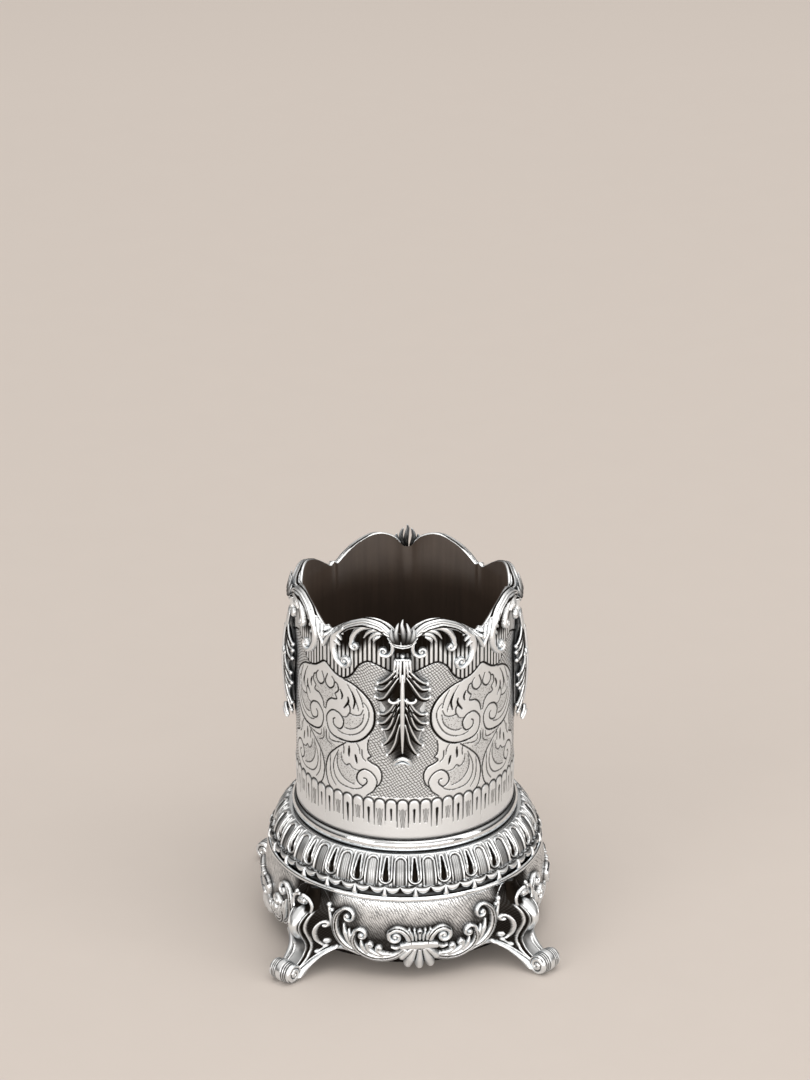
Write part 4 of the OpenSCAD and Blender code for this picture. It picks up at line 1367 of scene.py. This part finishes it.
def draw_cartouche(r):
    """Fan tail, volutes, crown and strap."""
    r.s = r.s - CARTOUCHE_S
    for hand in (1, -1):
        outer_petal = [(2.2, 17.4), (5, 14.4), (7.6, 11.8)]
        r.ridge(mirrored(hand, outer_petal), [0.9, 1.5, 1.8], [1.8, 2.4, 2.8])
        petal = [(1.3, 17.4), (2.7, 14), (4.2, 10.6), (5, 8.8)]
        r.ridge(mirrored(hand, petal), [1.0, 1.6, 2.2, 2.3], [2.0, 2.8, 3.8, 4.0])
        eye = (hand * VOLUTE_EYE[0], VOLUTE_EYE[1])
        path = volute(mirrored(hand, VOLUTE), eye, 1.15)
        r.ridge(path, [1.8, 1.7, 1.4, 1.15, 0.85, 0.7], [2.2, 2.4, 2.4, 2.3, 2.1, 2.3])
        r.groove(beside(mirrored(hand, VOLUTE), hand * 0.75), 0.24, 0.3)
        r.bead(eye, 1.0, 2.4)
        r.ridge(mirrored(hand, [(8.2, 17.6), (10, 16.2), (12, 16.8)]), [0.7, 1.1, 0.6], 1.8)
        r.ridge(mirrored(hand, [(1.5, 20.4), (1.7, 22.6), (2.2, 24.4)]), [0.6, 0.75, 0.5], 1.9)
        r.ridge(mirrored(hand, [(2.9, 20.4), (3.3, 22.8), (4.0, 24.6)]), [0.6, 0.8, 0.5], 1.8)
        r.bead((hand * 2.3, 25.6), 0.75, 2.1)
        r.bead((hand * 4.5, 25.6), 0.75, 1.9)
    r.bead((0, 24.6), 1.25, 2.4)
    r.groove([(-0.2, 24.6), (0.2, 24.6)], 0.5, 0.6)
    r.ridge([(0, 21), (0, 23.4)], 0.8, 1.6)
    r.ridge([(0, 17.4), (0, 12.6), (0, 8.8)], [1.1, 1.4, 1.9, 2.3], [2.4, 3.2, 4.4, 4.8])
    r.ridge(STRAP, [1.5, 1.8, 1.8, 1.5], 2.9, "flat")
    for z in (16.75, 20.25):
        r.groove([(-8, z - 0.2), (-4, z), (4, z), (7.4, z - 0.2)], 0.3, 0.35)
    r.s = r.s + CARTOUCHE_S


low, high = CARTOUCHE_S - CARTOUCHE_HALF, CARTOUCHE_S + CARTOUCHE_HALF
cartouche = apron_relief(low, high, CARTOUCHE_LOW, CARTOUCHE_TOP, draw_cartouche)
four_times("cartouche_chased_*", cartouche, "base", CHASED, "cartouche_*")

# %% [markdown]
# A spray of two scrolls leaves the cartouche to each side and carries the bright
# edge that runs on down to the feet. Left and right are drawn from the same
# points, but each is a casting of its own, as on the real object.

# %% Sprays
SPRAY_NEAR, SPRAY_FAR, SPRAY_LOW, SPRAY_TOP = 4, 43.2, 7.4, 34.6
MAIN = [
    (5, 15), (7.4, 12.8), (10.2, 11.2), (13.8, 10.1), (18.8, 9.9), (23.4, 11.6), (26.4, 14.2), (27.7, 17.8),
    (27, 21.2),
]
MAIN_EYE = (23.7, 21.6)
OUTER = [(27, 12), (30.4, 13.6), (33.4, 16.4), (35.4, 20.4), (35.8, 25), (34.8, 29.2), (32.4, 31.9)]
OUTER_EYE = (29.7, 29.4)
COMMAS = [
    ([(13.6, 11.4), (17.4, 12.3), (20.6, 14.4), (21.3, 16.8)], (19.8, 16.6)),
    ([(10.8, 12.6), (14.2, 12.7), (16.6, 14), (17, 15.6)], (15.8, 15.4)),
]
LEAVES_INSIDE = [
    [(27.8, 14.4), (29.6, 17.6), (31, 21.2), (31.6, 25.4)],
    [(27, 14.2), (28, 17.4), (28.8, 20.4), (29.2, 23.4)],
    [(21.4, 12.6), (23, 14.4), (23.8, 16.6), (24, 18.6)],
]
SPRIG = [(35.6, 17), (37, 22.4), (38, 27), (38.8, 31.4)]
BRIGHT_EDGE = [(25.4, 10.9), (29, 12.3), (32.4, 12.9), (35.8, 12.2), (39.8, 10)]
BERRIES = ((39, 32.4, 1.35), (37.4, 30.4, 0.95), (40, 29.6, 0.85), (36.4, 26.8, 0.8))


def scroll(r, hand, path, eye, width):
    """A broad ribbon with two dark lines along it, wound into a volute round a bead."""
    wound = volute(mirrored(hand, path), (hand * eye[0], eye[1]), 1.1)
    share = np.array([0.75, 1.0, 1.05, 1.0, 0.9, 0.72, 0.5, 0.42, 0.36])
    r.ridge(wound, width * share, [1.9, 2.3, 2.4, 2.4, 2.4, 2.3, 2.0, 2.0, 2.2])
    for offset in (0.32, -0.28):
        r.groove(beside(mirrored(hand, path), hand * offset * width), [0.14, 0.26, 0.26, 0.16], 0.45)
    r.bead((hand * eye[0], eye[1]), 1.05, 2.4)


def draw_spray(hand):
    """What draws a spray on the right (1) or the left (-1)."""

    def draw(r):
        for path, eye in COMMAS:
            wound = volute(mirrored(hand, path), (hand * eye[0], eye[1]), 0.8)
            r.ridge(wound, [0.5, 0.95, 1.1, 0.9, 0.7, 0.6], [1.6, 2.0, 2.1, 2.0, 1.9])
        for path in LEAVES_INSIDE:
            r.ridge(mirrored(hand, path), [0.7, 1.1, 1.05, 0.4], [1.8, 2.1, 2.0, 1.2])
        scroll(r, hand, OUTER, OUTER_EYE, 1.75)
        scroll(r, hand, MAIN, MAIN_EYE, 1.9)
        r.ridge(mirrored(hand, BRIGHT_EDGE), [0.7, 0.9, 0.9, 0.9], [1.7, 2.0, 2.0, 1.8])
        r.ridge(mirrored(hand, SPRIG), [0.4, 0.9, 0.9, 0.8], 1.6)
        for s, z, size in BERRIES:
            r.bead((hand * s, z), size, 1.2 + size * 0.5)

    return draw


for hand, word in ((-1, "_left"), (1, "_right")):
    low, high = sorted((hand * SPRAY_NEAR, hand * SPRAY_FAR))
    spray = apron_relief(low, high, SPRAY_LOW, SPRAY_TOP, draw_spray(hand))
    four_times("spray_chased_*" + word, spray, "base", CHASED, "spray_*" + word)

# %% [markdown]
# The ground behind the scrolls is a sheet of its own. It is black round the
# ornament, oxide and painted shade, and painted dark as shade low down and
# beside the feet. Above it is bright, where it is scored with slanting strokes.
# The strokes are finer than the mesh, so the finish draws them.

# %% Scored finish
STROKE_MM, CROSS_MM = 1.05, 1.6


def from_apron(f, place):
    """Oxide and painted shade with speckles in it, and slanting strokes where there is none."""
    drawing = f.node("UVMap", {"uv_map": "drawing"}).outputs[0]
    s, z = f.axis(drawing, 0), f.axis(drawing, 1)
    wander, broken = f.noise(drawing, 9.0, 3.0), f.noise(drawing, 26.0)
    whole_turn = 2 * math.pi * DRAWING_MM
    one = ((s * 0.86 + z * 0.5 + wander * 0.04) * (whole_turn / STROKE_MM)).sine()
    two = ((s * 0.6 + z * 0.8 - wander * 0.05) * (whole_turn / CROSS_MM)).sine()
    crossing = ((two + broken * 1.4 - 1.25) * 1.6).clipped()
    strokes = ((one + broken * 1.6 - 1.0) * 1.6).clipped().most(crossing)
    patina_and_shade = f.mask("patina_and_shade")
    speckle = ((f.dots(drawing, 130.0) - 0.25) * 0.8).clipped()
    dark = patina_and_shade * (1 - speckle * 0.3) + strokes * 0.46 * (1 - patina_and_shade)
    return dark, 1 - dark


SCORED = silver_finish("scored_silver", from_apron, rough=0.22)
print("scored finish", SCORED.name)

# %% [markdown]
# The sheet follows the apron's lower edge with its arches. The ornament is drawn
# on it once more, only to find what lies near a scroll: averaging each point with
# its neighbours again and again spreads the outline into a soft halo.

# %% Apron ground
COLUMNS, ROWS, SPREADING = 190, 66, 45
s_at = np.linspace(-APRON_HALF, APRON_HALF, COLUMNS + 1)[None, :].repeat(ROWS + 4, 0)
arch = HOLLOW_Z + np.sqrt(np.clip(HOLLOW_R**2 - (np.abs(s_at[0]) - HOLLOW_S) ** 2, 0, None))
edge = np.maximum(APRON_LOW, arch)
climb = np.linspace(0, 1, ROWS + 1)[:, None]
z_at, h_at, bed = (np.zeros_like(s_at) for _ in range(3))
z_at[: ROWS + 1] = edge + climb * (APRON_TOP - edge)
z_at[-3], z_at[-2], z_at[-1] = APRON_TOP, edge, edge
h_at[: ROWS + 1], h_at[-3:-1], h_at[-1] = 0.05, -1.4, 0.05
ornament = Relief(s_at[: ROWS + 1].ravel(), z_at[: ROWS + 1].ravel(), -0.5)
draw_cartouche(ornament)
for hand in (1, -1):
    draw_spray(hand)(ornament)
halo = (ornament.h.reshape(ROWS + 1, -1) > 0.1) * 1.0
for _ in range(SPREADING):
    up_and_down = halo[2:, 1:-1] + halo[:-2, 1:-1]
    to_the_sides = halo[1:-1, 2:] + halo[1:-1, :-2]
    halo[1:-1, 1:-1] = (halo[1:-1, 1:-1] + up_and_down + to_the_sides) / 5
# Painted shade: darker low down under the belly and beside the feet; the halo round the ornament is oxide and
# painted shade.
shade_low_down = 0.85 * ramp(z_at[: ROWS + 1], 28, 19)
shade_by_feet = 0.97 * ramp(np.abs(s_at[: ROWS + 1]), 34, 39)
bed[: ROWS + 1] = np.clip(np.maximum.reduce([2.2 * halo, shade_low_down, shade_by_feet]), 0, 0.97)
ground = grid_mesh(COLUMNS, ROWS + 3, on_sheet(on_apron, s_at, z_at, h_at), {"patina_and_shade": bed}, (s_at, z_at))
four_times("apron_ground_*", ground, "base", SCORED, "apron")

# %% [markdown]
# ## The feet
#
# A foot is a cast scroll leg: a smooth oval knee between two ridges, dark wings
# that meet the apron, and a bright edge that sweeps down to a barrel toe.
# Sculpting would suit it, but a loft can be measured: at each height a closed
# section runs across the front and back again behind, and a few smooth lines say
# how far out and how wide it is there.

# %% Foot outlines
leg_front = level([
    (1, 80), (5, 78), (6, 76.6), (7, 74.4), (8.3, 72.2), (10, 70.4), (12.5, 69.4), (15, 69.8), (18, 71.2),
    (21.5, 72.9), (24.5, 73.4), (27.5, 72.2), (30, 69.2), (32, 65.8), (33.5, 63.8), (35, 62.6), (38, 61.6),
])
leg_half = level([
    (1, 4.6), (6, 4.2), (9, 4.1), (12, 4.4), (16, 4.7), (20, 4.3), (24, 4.1), (27, 4.6), (30, 5.4), (32, 4.9),
    (34, 3.8), (38, 3),
])
ridge_at = level([
    (1, 3.2), (9, 2.9), (12, 3.2), (16, 3.5), (20, 3.1), (24, 2.9), (27, 3.4), (30, 4.2), (31.6, 4.1),
    (33, 3.6), (34.5, 2.8), (38, 2),
])
wing_half = level([
    (1, 6.6), (4, 6.9), (6, 7.4), (8, 8.3), (10, 9.9), (12, 12.4), (13.6, 14.4), (16, 13.8), (20, 12.8),
    (26, 11.8), (31, 10.6), (35, 8.4), (38, 5.4),
])
web = level([(1, 77), (4, 73.6), (6, 70.4), (8, 67), (10, 64), (12, 61.4), (14, 59.8), (15, 59.7)])
WEB_TOP, EDGE_FALL, RIDGE_GAP = 15.0, 2.0, 1.4
LEG_LOW, LEG_TOP = 2.2, 37.6
KNEE_Z, KNEE_HALF, KNEE_HIGH, SHIN_DEEP = 24, 7.6, 1.9, 0.9


def apron_r(z):
    return CURVE_X + np.sqrt(CURVE_R**2 - (z - BELLY_Z) ** 2)


print("knee at", round(float(leg_front(KNEE_Z)), 1), "mm from the axis")

# %% [markdown]
# First the front: the leg, the flanks that fall away to the wings, and what was
# chased on them afterwards, double ridges, C-scrolls and the oval knee.

# %% Foot front
FRONT_C, BACK_C, LEG_R = 110, 10, 104
C_SCROLL, C_EYE = [(8.4, 14), (6.9, 16), (6.4, 19.4), (6.9, 22.8), (8.2, 25), (9.6, 25.2)], (9.3, 23.8)
z_leg = np.linspace(LEG_LOW, LEG_TOP, LEG_R + 1)[:, None]
t = np.linspace(-1, 1, FRONT_C + 1)[None, :] * wing_half(z_leg)
x = np.clip(np.abs(t) / leg_half(z_leg), 0, 1)
flank = ramp(np.abs(t), leg_half(z_leg), wing_half(z_leg))
on_belly = np.sqrt(np.clip(apron_r(z_leg) ** 2 - t * t, 0, None))
wing_ground = np.where(z_leg < WEB_TOP, web(z_leg), on_belly) + 0.5
edge_rho = leg_front(z_leg) - EDGE_FALL
rho = leg_front(z_leg) - EDGE_FALL * (1 - np.sqrt(np.clip(1 - x**2.4, 0, 1)))
rho = np.where(flank > 0, wing_ground + (edge_rho - wing_ground) * (1 - flank) ** 1.5, rho)
chased = Relief(t.ravel(), (z_leg + 0 * t).ravel(), 0.0)
up = np.linspace(2.6, 29.8, 90)
low_up = np.linspace(2.4, 13.4, 40)
for hand in (1, -1):
    chased.ridge(np.stack([hand * ridge_at(up), up], 1), 0.42, [0.6, 1.0, 1.0, 0.9, 0.8])
    chased.ridge(np.stack([hand * (ridge_at(up) + RIDGE_GAP), up], 1), 0.3, [0.5, 0.8, 0.8, 0.7, 0.6])
    chased.ridge(np.stack([hand * (wing_half(low_up) - 0.9), low_up], 1), 1.15, 1.5)
    chased.ridge(np.stack([hand * (wing_half(low_up) - 2.7), low_up], 1), 0.35, 0.8)
    wound = volute(mirrored(hand, C_SCROLL), (hand * C_EYE[0], C_EYE[1]), 0.7)
    chased.ridge(wound, [0.35, 0.55, 0.62, 0.6, 0.55, 0.5], 1.3)
    chased.bead((hand * 9.6, 15.9), 1.25, 1.6)
    chased.ridge(mirrored(hand, [(6.6, 11), (8, 12), (9.4, 13.6)]), [0.95, 0.45, 0.45, 0.9], 1.2)
lift = np.maximum(chased.h.reshape(rho.shape), 0)
knee_across, knee_up = t / (ridge_at(z_leg) - 0.5), (z_leg - KNEE_Z) / KNEE_HALF
knee = np.sqrt(np.clip(1 - knee_across**2 - knee_up**2, 0, 1))
in_shin = np.clip(1 - (t / (ridge_at(z_leg) - 0.4)) ** 2, 0, 1) * ramp(z_leg, 17, 14)
rho = rho + lift + KNEE_HIGH * knee - SHIN_DEEP * in_shin
print("foot front reaches", round(float(rho.max()), 1), "mm")

# %% [markdown]
# Then the dark places: oxide in the channel between the ridges, the wings with
# the grain of a matting punch and painted shade where they fall back to the apron,
# and painted shade in the throat over the knee, above the curl and on the shin
# below it. Where they meet, the darkest one counts.

# %% Foot hollows
beyond = np.abs(t) - ridge_at(z_leg)
between = np.clip(1 - np.abs(beyond - RIDGE_GAP / 2) / 0.6, 0, 1) * 2
inner_line = np.clip(1 - np.abs(beyond + 0.6) / 0.35, 0, 1) * np.where(z_leg > WEB_TOP, 0.95, 0.6)
stipple = 0.1 * np.sin(t * 5.3) * np.sin(z_leg * 4.7)
outside = np.clip((beyond - RIDGE_GAP - 0.25) * 6, 0, 1) * np.clip(0.9 + stipple - lift * 1.1, 0, 1)
off_knee = np.clip(1 - 3 * knee, 0, 1)
# Painted shade in the throat above the knee and the curl, and on the shin under the knee.
throat_shade = ramp(z_leg, 29.4, 30.6) * off_knee * (beyond < -0.4)
shin_shade = (0.3 + 0.4 * ramp(z_leg, 8, 16)) * ramp(z_leg, 18.5, 16.5) * (beyond < -0.4)
shade_over_curl = ramp(z_leg, 29.6, 30.4) * off_knee * (beyond < RIDGE_GAP + 0.4)
dark = np.maximum.reduce([between, inner_line, outside, throat_shade, shin_shade, shade_over_curl])
print("dark share of the foot", round(float((dark > 0.5).mean()), 2))

# %% [markdown]
# Front and back are joined to closed sections, and the grid gives the loft its
# faces. The back follows the apron above and the web between leg and toe below.

# %% Foot sections
columns = FRONT_C + BACK_C
foot_t, foot_rho, foot_dark = (np.zeros((LEG_R + 1, columns + 1)) for _ in range(3))
foot_t[:, : FRONT_C + 1], foot_rho[:, : FRONT_C + 1] = t, rho
foot_dark[:, : FRONT_C + 1] = np.clip(dark, 0, 0.98)
behind = np.where(z_leg < WEB_TOP, web(z_leg) - 1.6, apron_r(z_leg) - 0.9)
back_t = np.linspace(1, -1, BACK_C - 1)[None, :] * (wing_half(z_leg) - 0.4)
back_belly = np.sqrt(np.clip(behind**2 - back_t**2, 0, None))
foot_t[:, FRONT_C + 1 : -1] = back_t
foot_rho[:, FRONT_C + 1 : -1] = np.where(z_leg < WEB_TOP, behind, back_belly)
foot_t[:, -1], foot_rho[:, -1] = foot_t[:, 0], foot_rho[:, 0]
leg_place = on_sheet(lambda t, rho, z: (t, -rho, z), foot_t, foot_rho, z_leg + 0 * foot_t)
leg = hollows(grid_mesh(columns, LEG_R, leg_place, {"patina_and_shade": foot_dark}), (3, 0.3), (14, 1.4), -0.15)
print("leg", len(leg.polygons), "faces")

# %% [markdown]
# The leg ends in rolled scrolls, a barrel toe below and a small curl with two
# ears over the knee. A plain cylinder would lose the spiral on its ends, which
# is what makes it a scroll, so the barrel is a grid too, with the spiral cut in.


# %% Scroll ends
def scroll_barrel(rho_at, z_at, radius, half, grooves, turns):
    """A barrel across the foot, with grooves round it and a spiral cut into each end."""
    around, end_rows, body_rows = 48, 16, 48
    inwards = np.linspace(0.02, 1, end_rows)
    swell = np.linspace(-1, 1, body_rows)
    q = np.concatenate([inwards, np.ones(body_rows), inwards[::-1]])[:, None]
    a = np.concatenate([np.full(end_rows, -1.0), swell, np.full(end_rows, 1.0)])[:, None]
    angle = 2 * math.pi * np.arange(around + 1)[None, :] / around
    rings = sum(np.exp(-((np.abs(a) - spot) / 0.05) ** 2) for spot in grooves) * (q == 1)
    r = radius * q * np.where(q < 1, 0.88, 0.88 + 0.12 * (1 - a * a)) - 0.1 * radius * rings + 0 * angle
    wind = (q * turns - angle / (2 * math.pi) * np.sign(a)) % 1.0
    raised = 0.16 * radius * np.sin(math.pi * wind) ** 0.6 * np.clip(q * 6, 0, 1) + 0.12 * radius * (1 - q)
    across = a * (half - 0.14 * radius + np.where((q < 1) & (np.abs(a) == 1), raised, 0))
    cut = np.where(q < 1, np.clip(1 - 4 * np.sin(math.pi * wind), 0, 1) * np.clip(q * 5 - 1, 0, 1), 0)
    dark = np.clip(np.maximum(rings + 0 * angle, cut), 0, 1)
    rho, z = rho_at + r * np.cos(angle), z_at + r * np.sin(angle)
    place = on_sheet(lambda x, y, z: (x, -y, z), across, rho, z)
    return hollows(grid_mesh(around, len(q) - 1, place, {"patina_and_shade": dark}))


CORNERS = ("front_right", "back_right", "back_left", "front_left")
EAR = [
    (4.2, -68.2, 29), (5.1, -67.6, 31.2), (5, -67.4, 33.6), (3.6, -67.8, 36), (1.6, -68.4, 37.3),
    (0, -68.6, 37.5),
]
TOE_RHO, TOE_RADIUS, TOE_HALF = 79.6, 4.85, 5.7
CURL_RHO, CURL_Z, CURL_RADIUS, CURL_HALF = 67.4, 34.2, 1.7, 1.9
toe = scroll_barrel(TOE_RHO, TOE_RADIUS, TOE_RADIUS, TOE_HALF, (0.34, 0.56, 0.76), 2.0)
curl = scroll_barrel(CURL_RHO, CURL_Z, CURL_RADIUS, CURL_HALF, (0.5,), 1.5)
ears = bmesh.new()
for hand in (1, -1):
    ear = line([(hand * x, y, z) for x, y, z in EAR], 0.5)
    forwards = np.tile((0.0, -1.0, 0.0), (len(ear), 1))
    rod(ears, ear, forwards, [0.5, 0.75, 0.75, 0.7], [0.6, 0.8, 0.8])
foot = joined(leg, toe, curl, hollows(rods_mesh(ears)))
four_times("scroll_foot_*", foot, "base", CHASED, "foot_*", 45, CORNERS)

# %% [markdown]
# ## The studio
#
# A plain pale floor fills the view, a little lighter further back. A picture of
# a room could light the silver, but its windows would show in every curve. A
# large soft lamp overhead, softer ones at the sides and a low wide one in front
# light it evenly, and a dim grey room gives the silver its darks.

# %% Floor
PAPER_NEAR, PAPER_FAR = (0.57, 0.53, 0.498, 1), (0.7, 0.652, 0.612, 1)
NEAR_Y, FAR_Y = -0.15, 1.1
stand = bmesh.new()
bmesh.ops.create_grid(stand, x_segments=1, y_segments=1, size=6)
floor = bpy.data.objects.new("floor", mesh_of(stand, "floor"))
bpy.context.scene.collection.objects.link(floor)
paper = Finish("pale_paper")
place = paper.node("TexCoord").outputs["Object"]
grain = paper.noise(place, 40.0)
far = ((paper.axis(place, 1) - NEAR_Y) * (1 / (FAR_Y - NEAR_Y)) + (grain - 0.5) * 0.1).clipped()
PAPER = paper.surface(Base_Color=paper.colour(far, PAPER_NEAR, PAPER_FAR), Roughness=0.9)
floor.data.materials.append(PAPER)
print("floor", PAPER.name)

# %% [markdown]
# The room is lit by a smooth rise from dark near the floor to light overhead.
# The lamps are wide rectangles, because a small one would be a hard white spot
# on every curve of the silver.

# %% Light
DAYLIGHT = (1, 0.945, 0.895)
DARK_TO, LIGHT_FROM = 0.2, 0.68
room = Finish("studio", bpy.data.worlds, "Background")
bpy.context.scene.world = room.material
up = room.axis(room.node("TexCoord").outputs["Generated"], 2)
ends = {"Value": up, "From Min": DARK_TO, "From Max": LIGHT_FROM}
rise = room.number("MapRange", "Result", {"interpolation_type": "SMOOTHSTEP"}, ends)
room.surface(Color=(*DAYLIGHT, 1), Strength=rise * 0.72 + 0.07)


def soft_lamp(name, at, towards, size, power):
    lamp = bpy.data.lights.new(name, "AREA")
    lamp.shape, lamp.size, lamp.size_y = "RECTANGLE", size[0], size[1]
    lamp.energy, lamp.color = power, DAYLIGHT
    obj = bpy.data.objects.new(name, lamp)
    obj.location = at
    obj.rotation_euler = (Vector(towards) - Vector(at)).to_track_quat("-Z", "Y").to_euler()
    bpy.context.scene.collection.objects.link(obj)


soft_lamp("overhead", (0.3, -0.4, 2.2), (0, 0, 0.1), (2.2, 2.2), 21)
soft_lamp("left", (-1.5, -1.2, 0.9), (0, 0, 0.1), (0.8, 1.5), 7)
soft_lamp("right", (1.6, -0.8, 0.8), (0, 0, 0.1), (0.7, 1.4), 5)
soft_lamp("front", (0, -1.3, 0.32), (0, 0, 0.11), (2.4, 0.5), 13)
bpy.context.scene.view_settings.view_transform = "Standard"
print("studio ready")
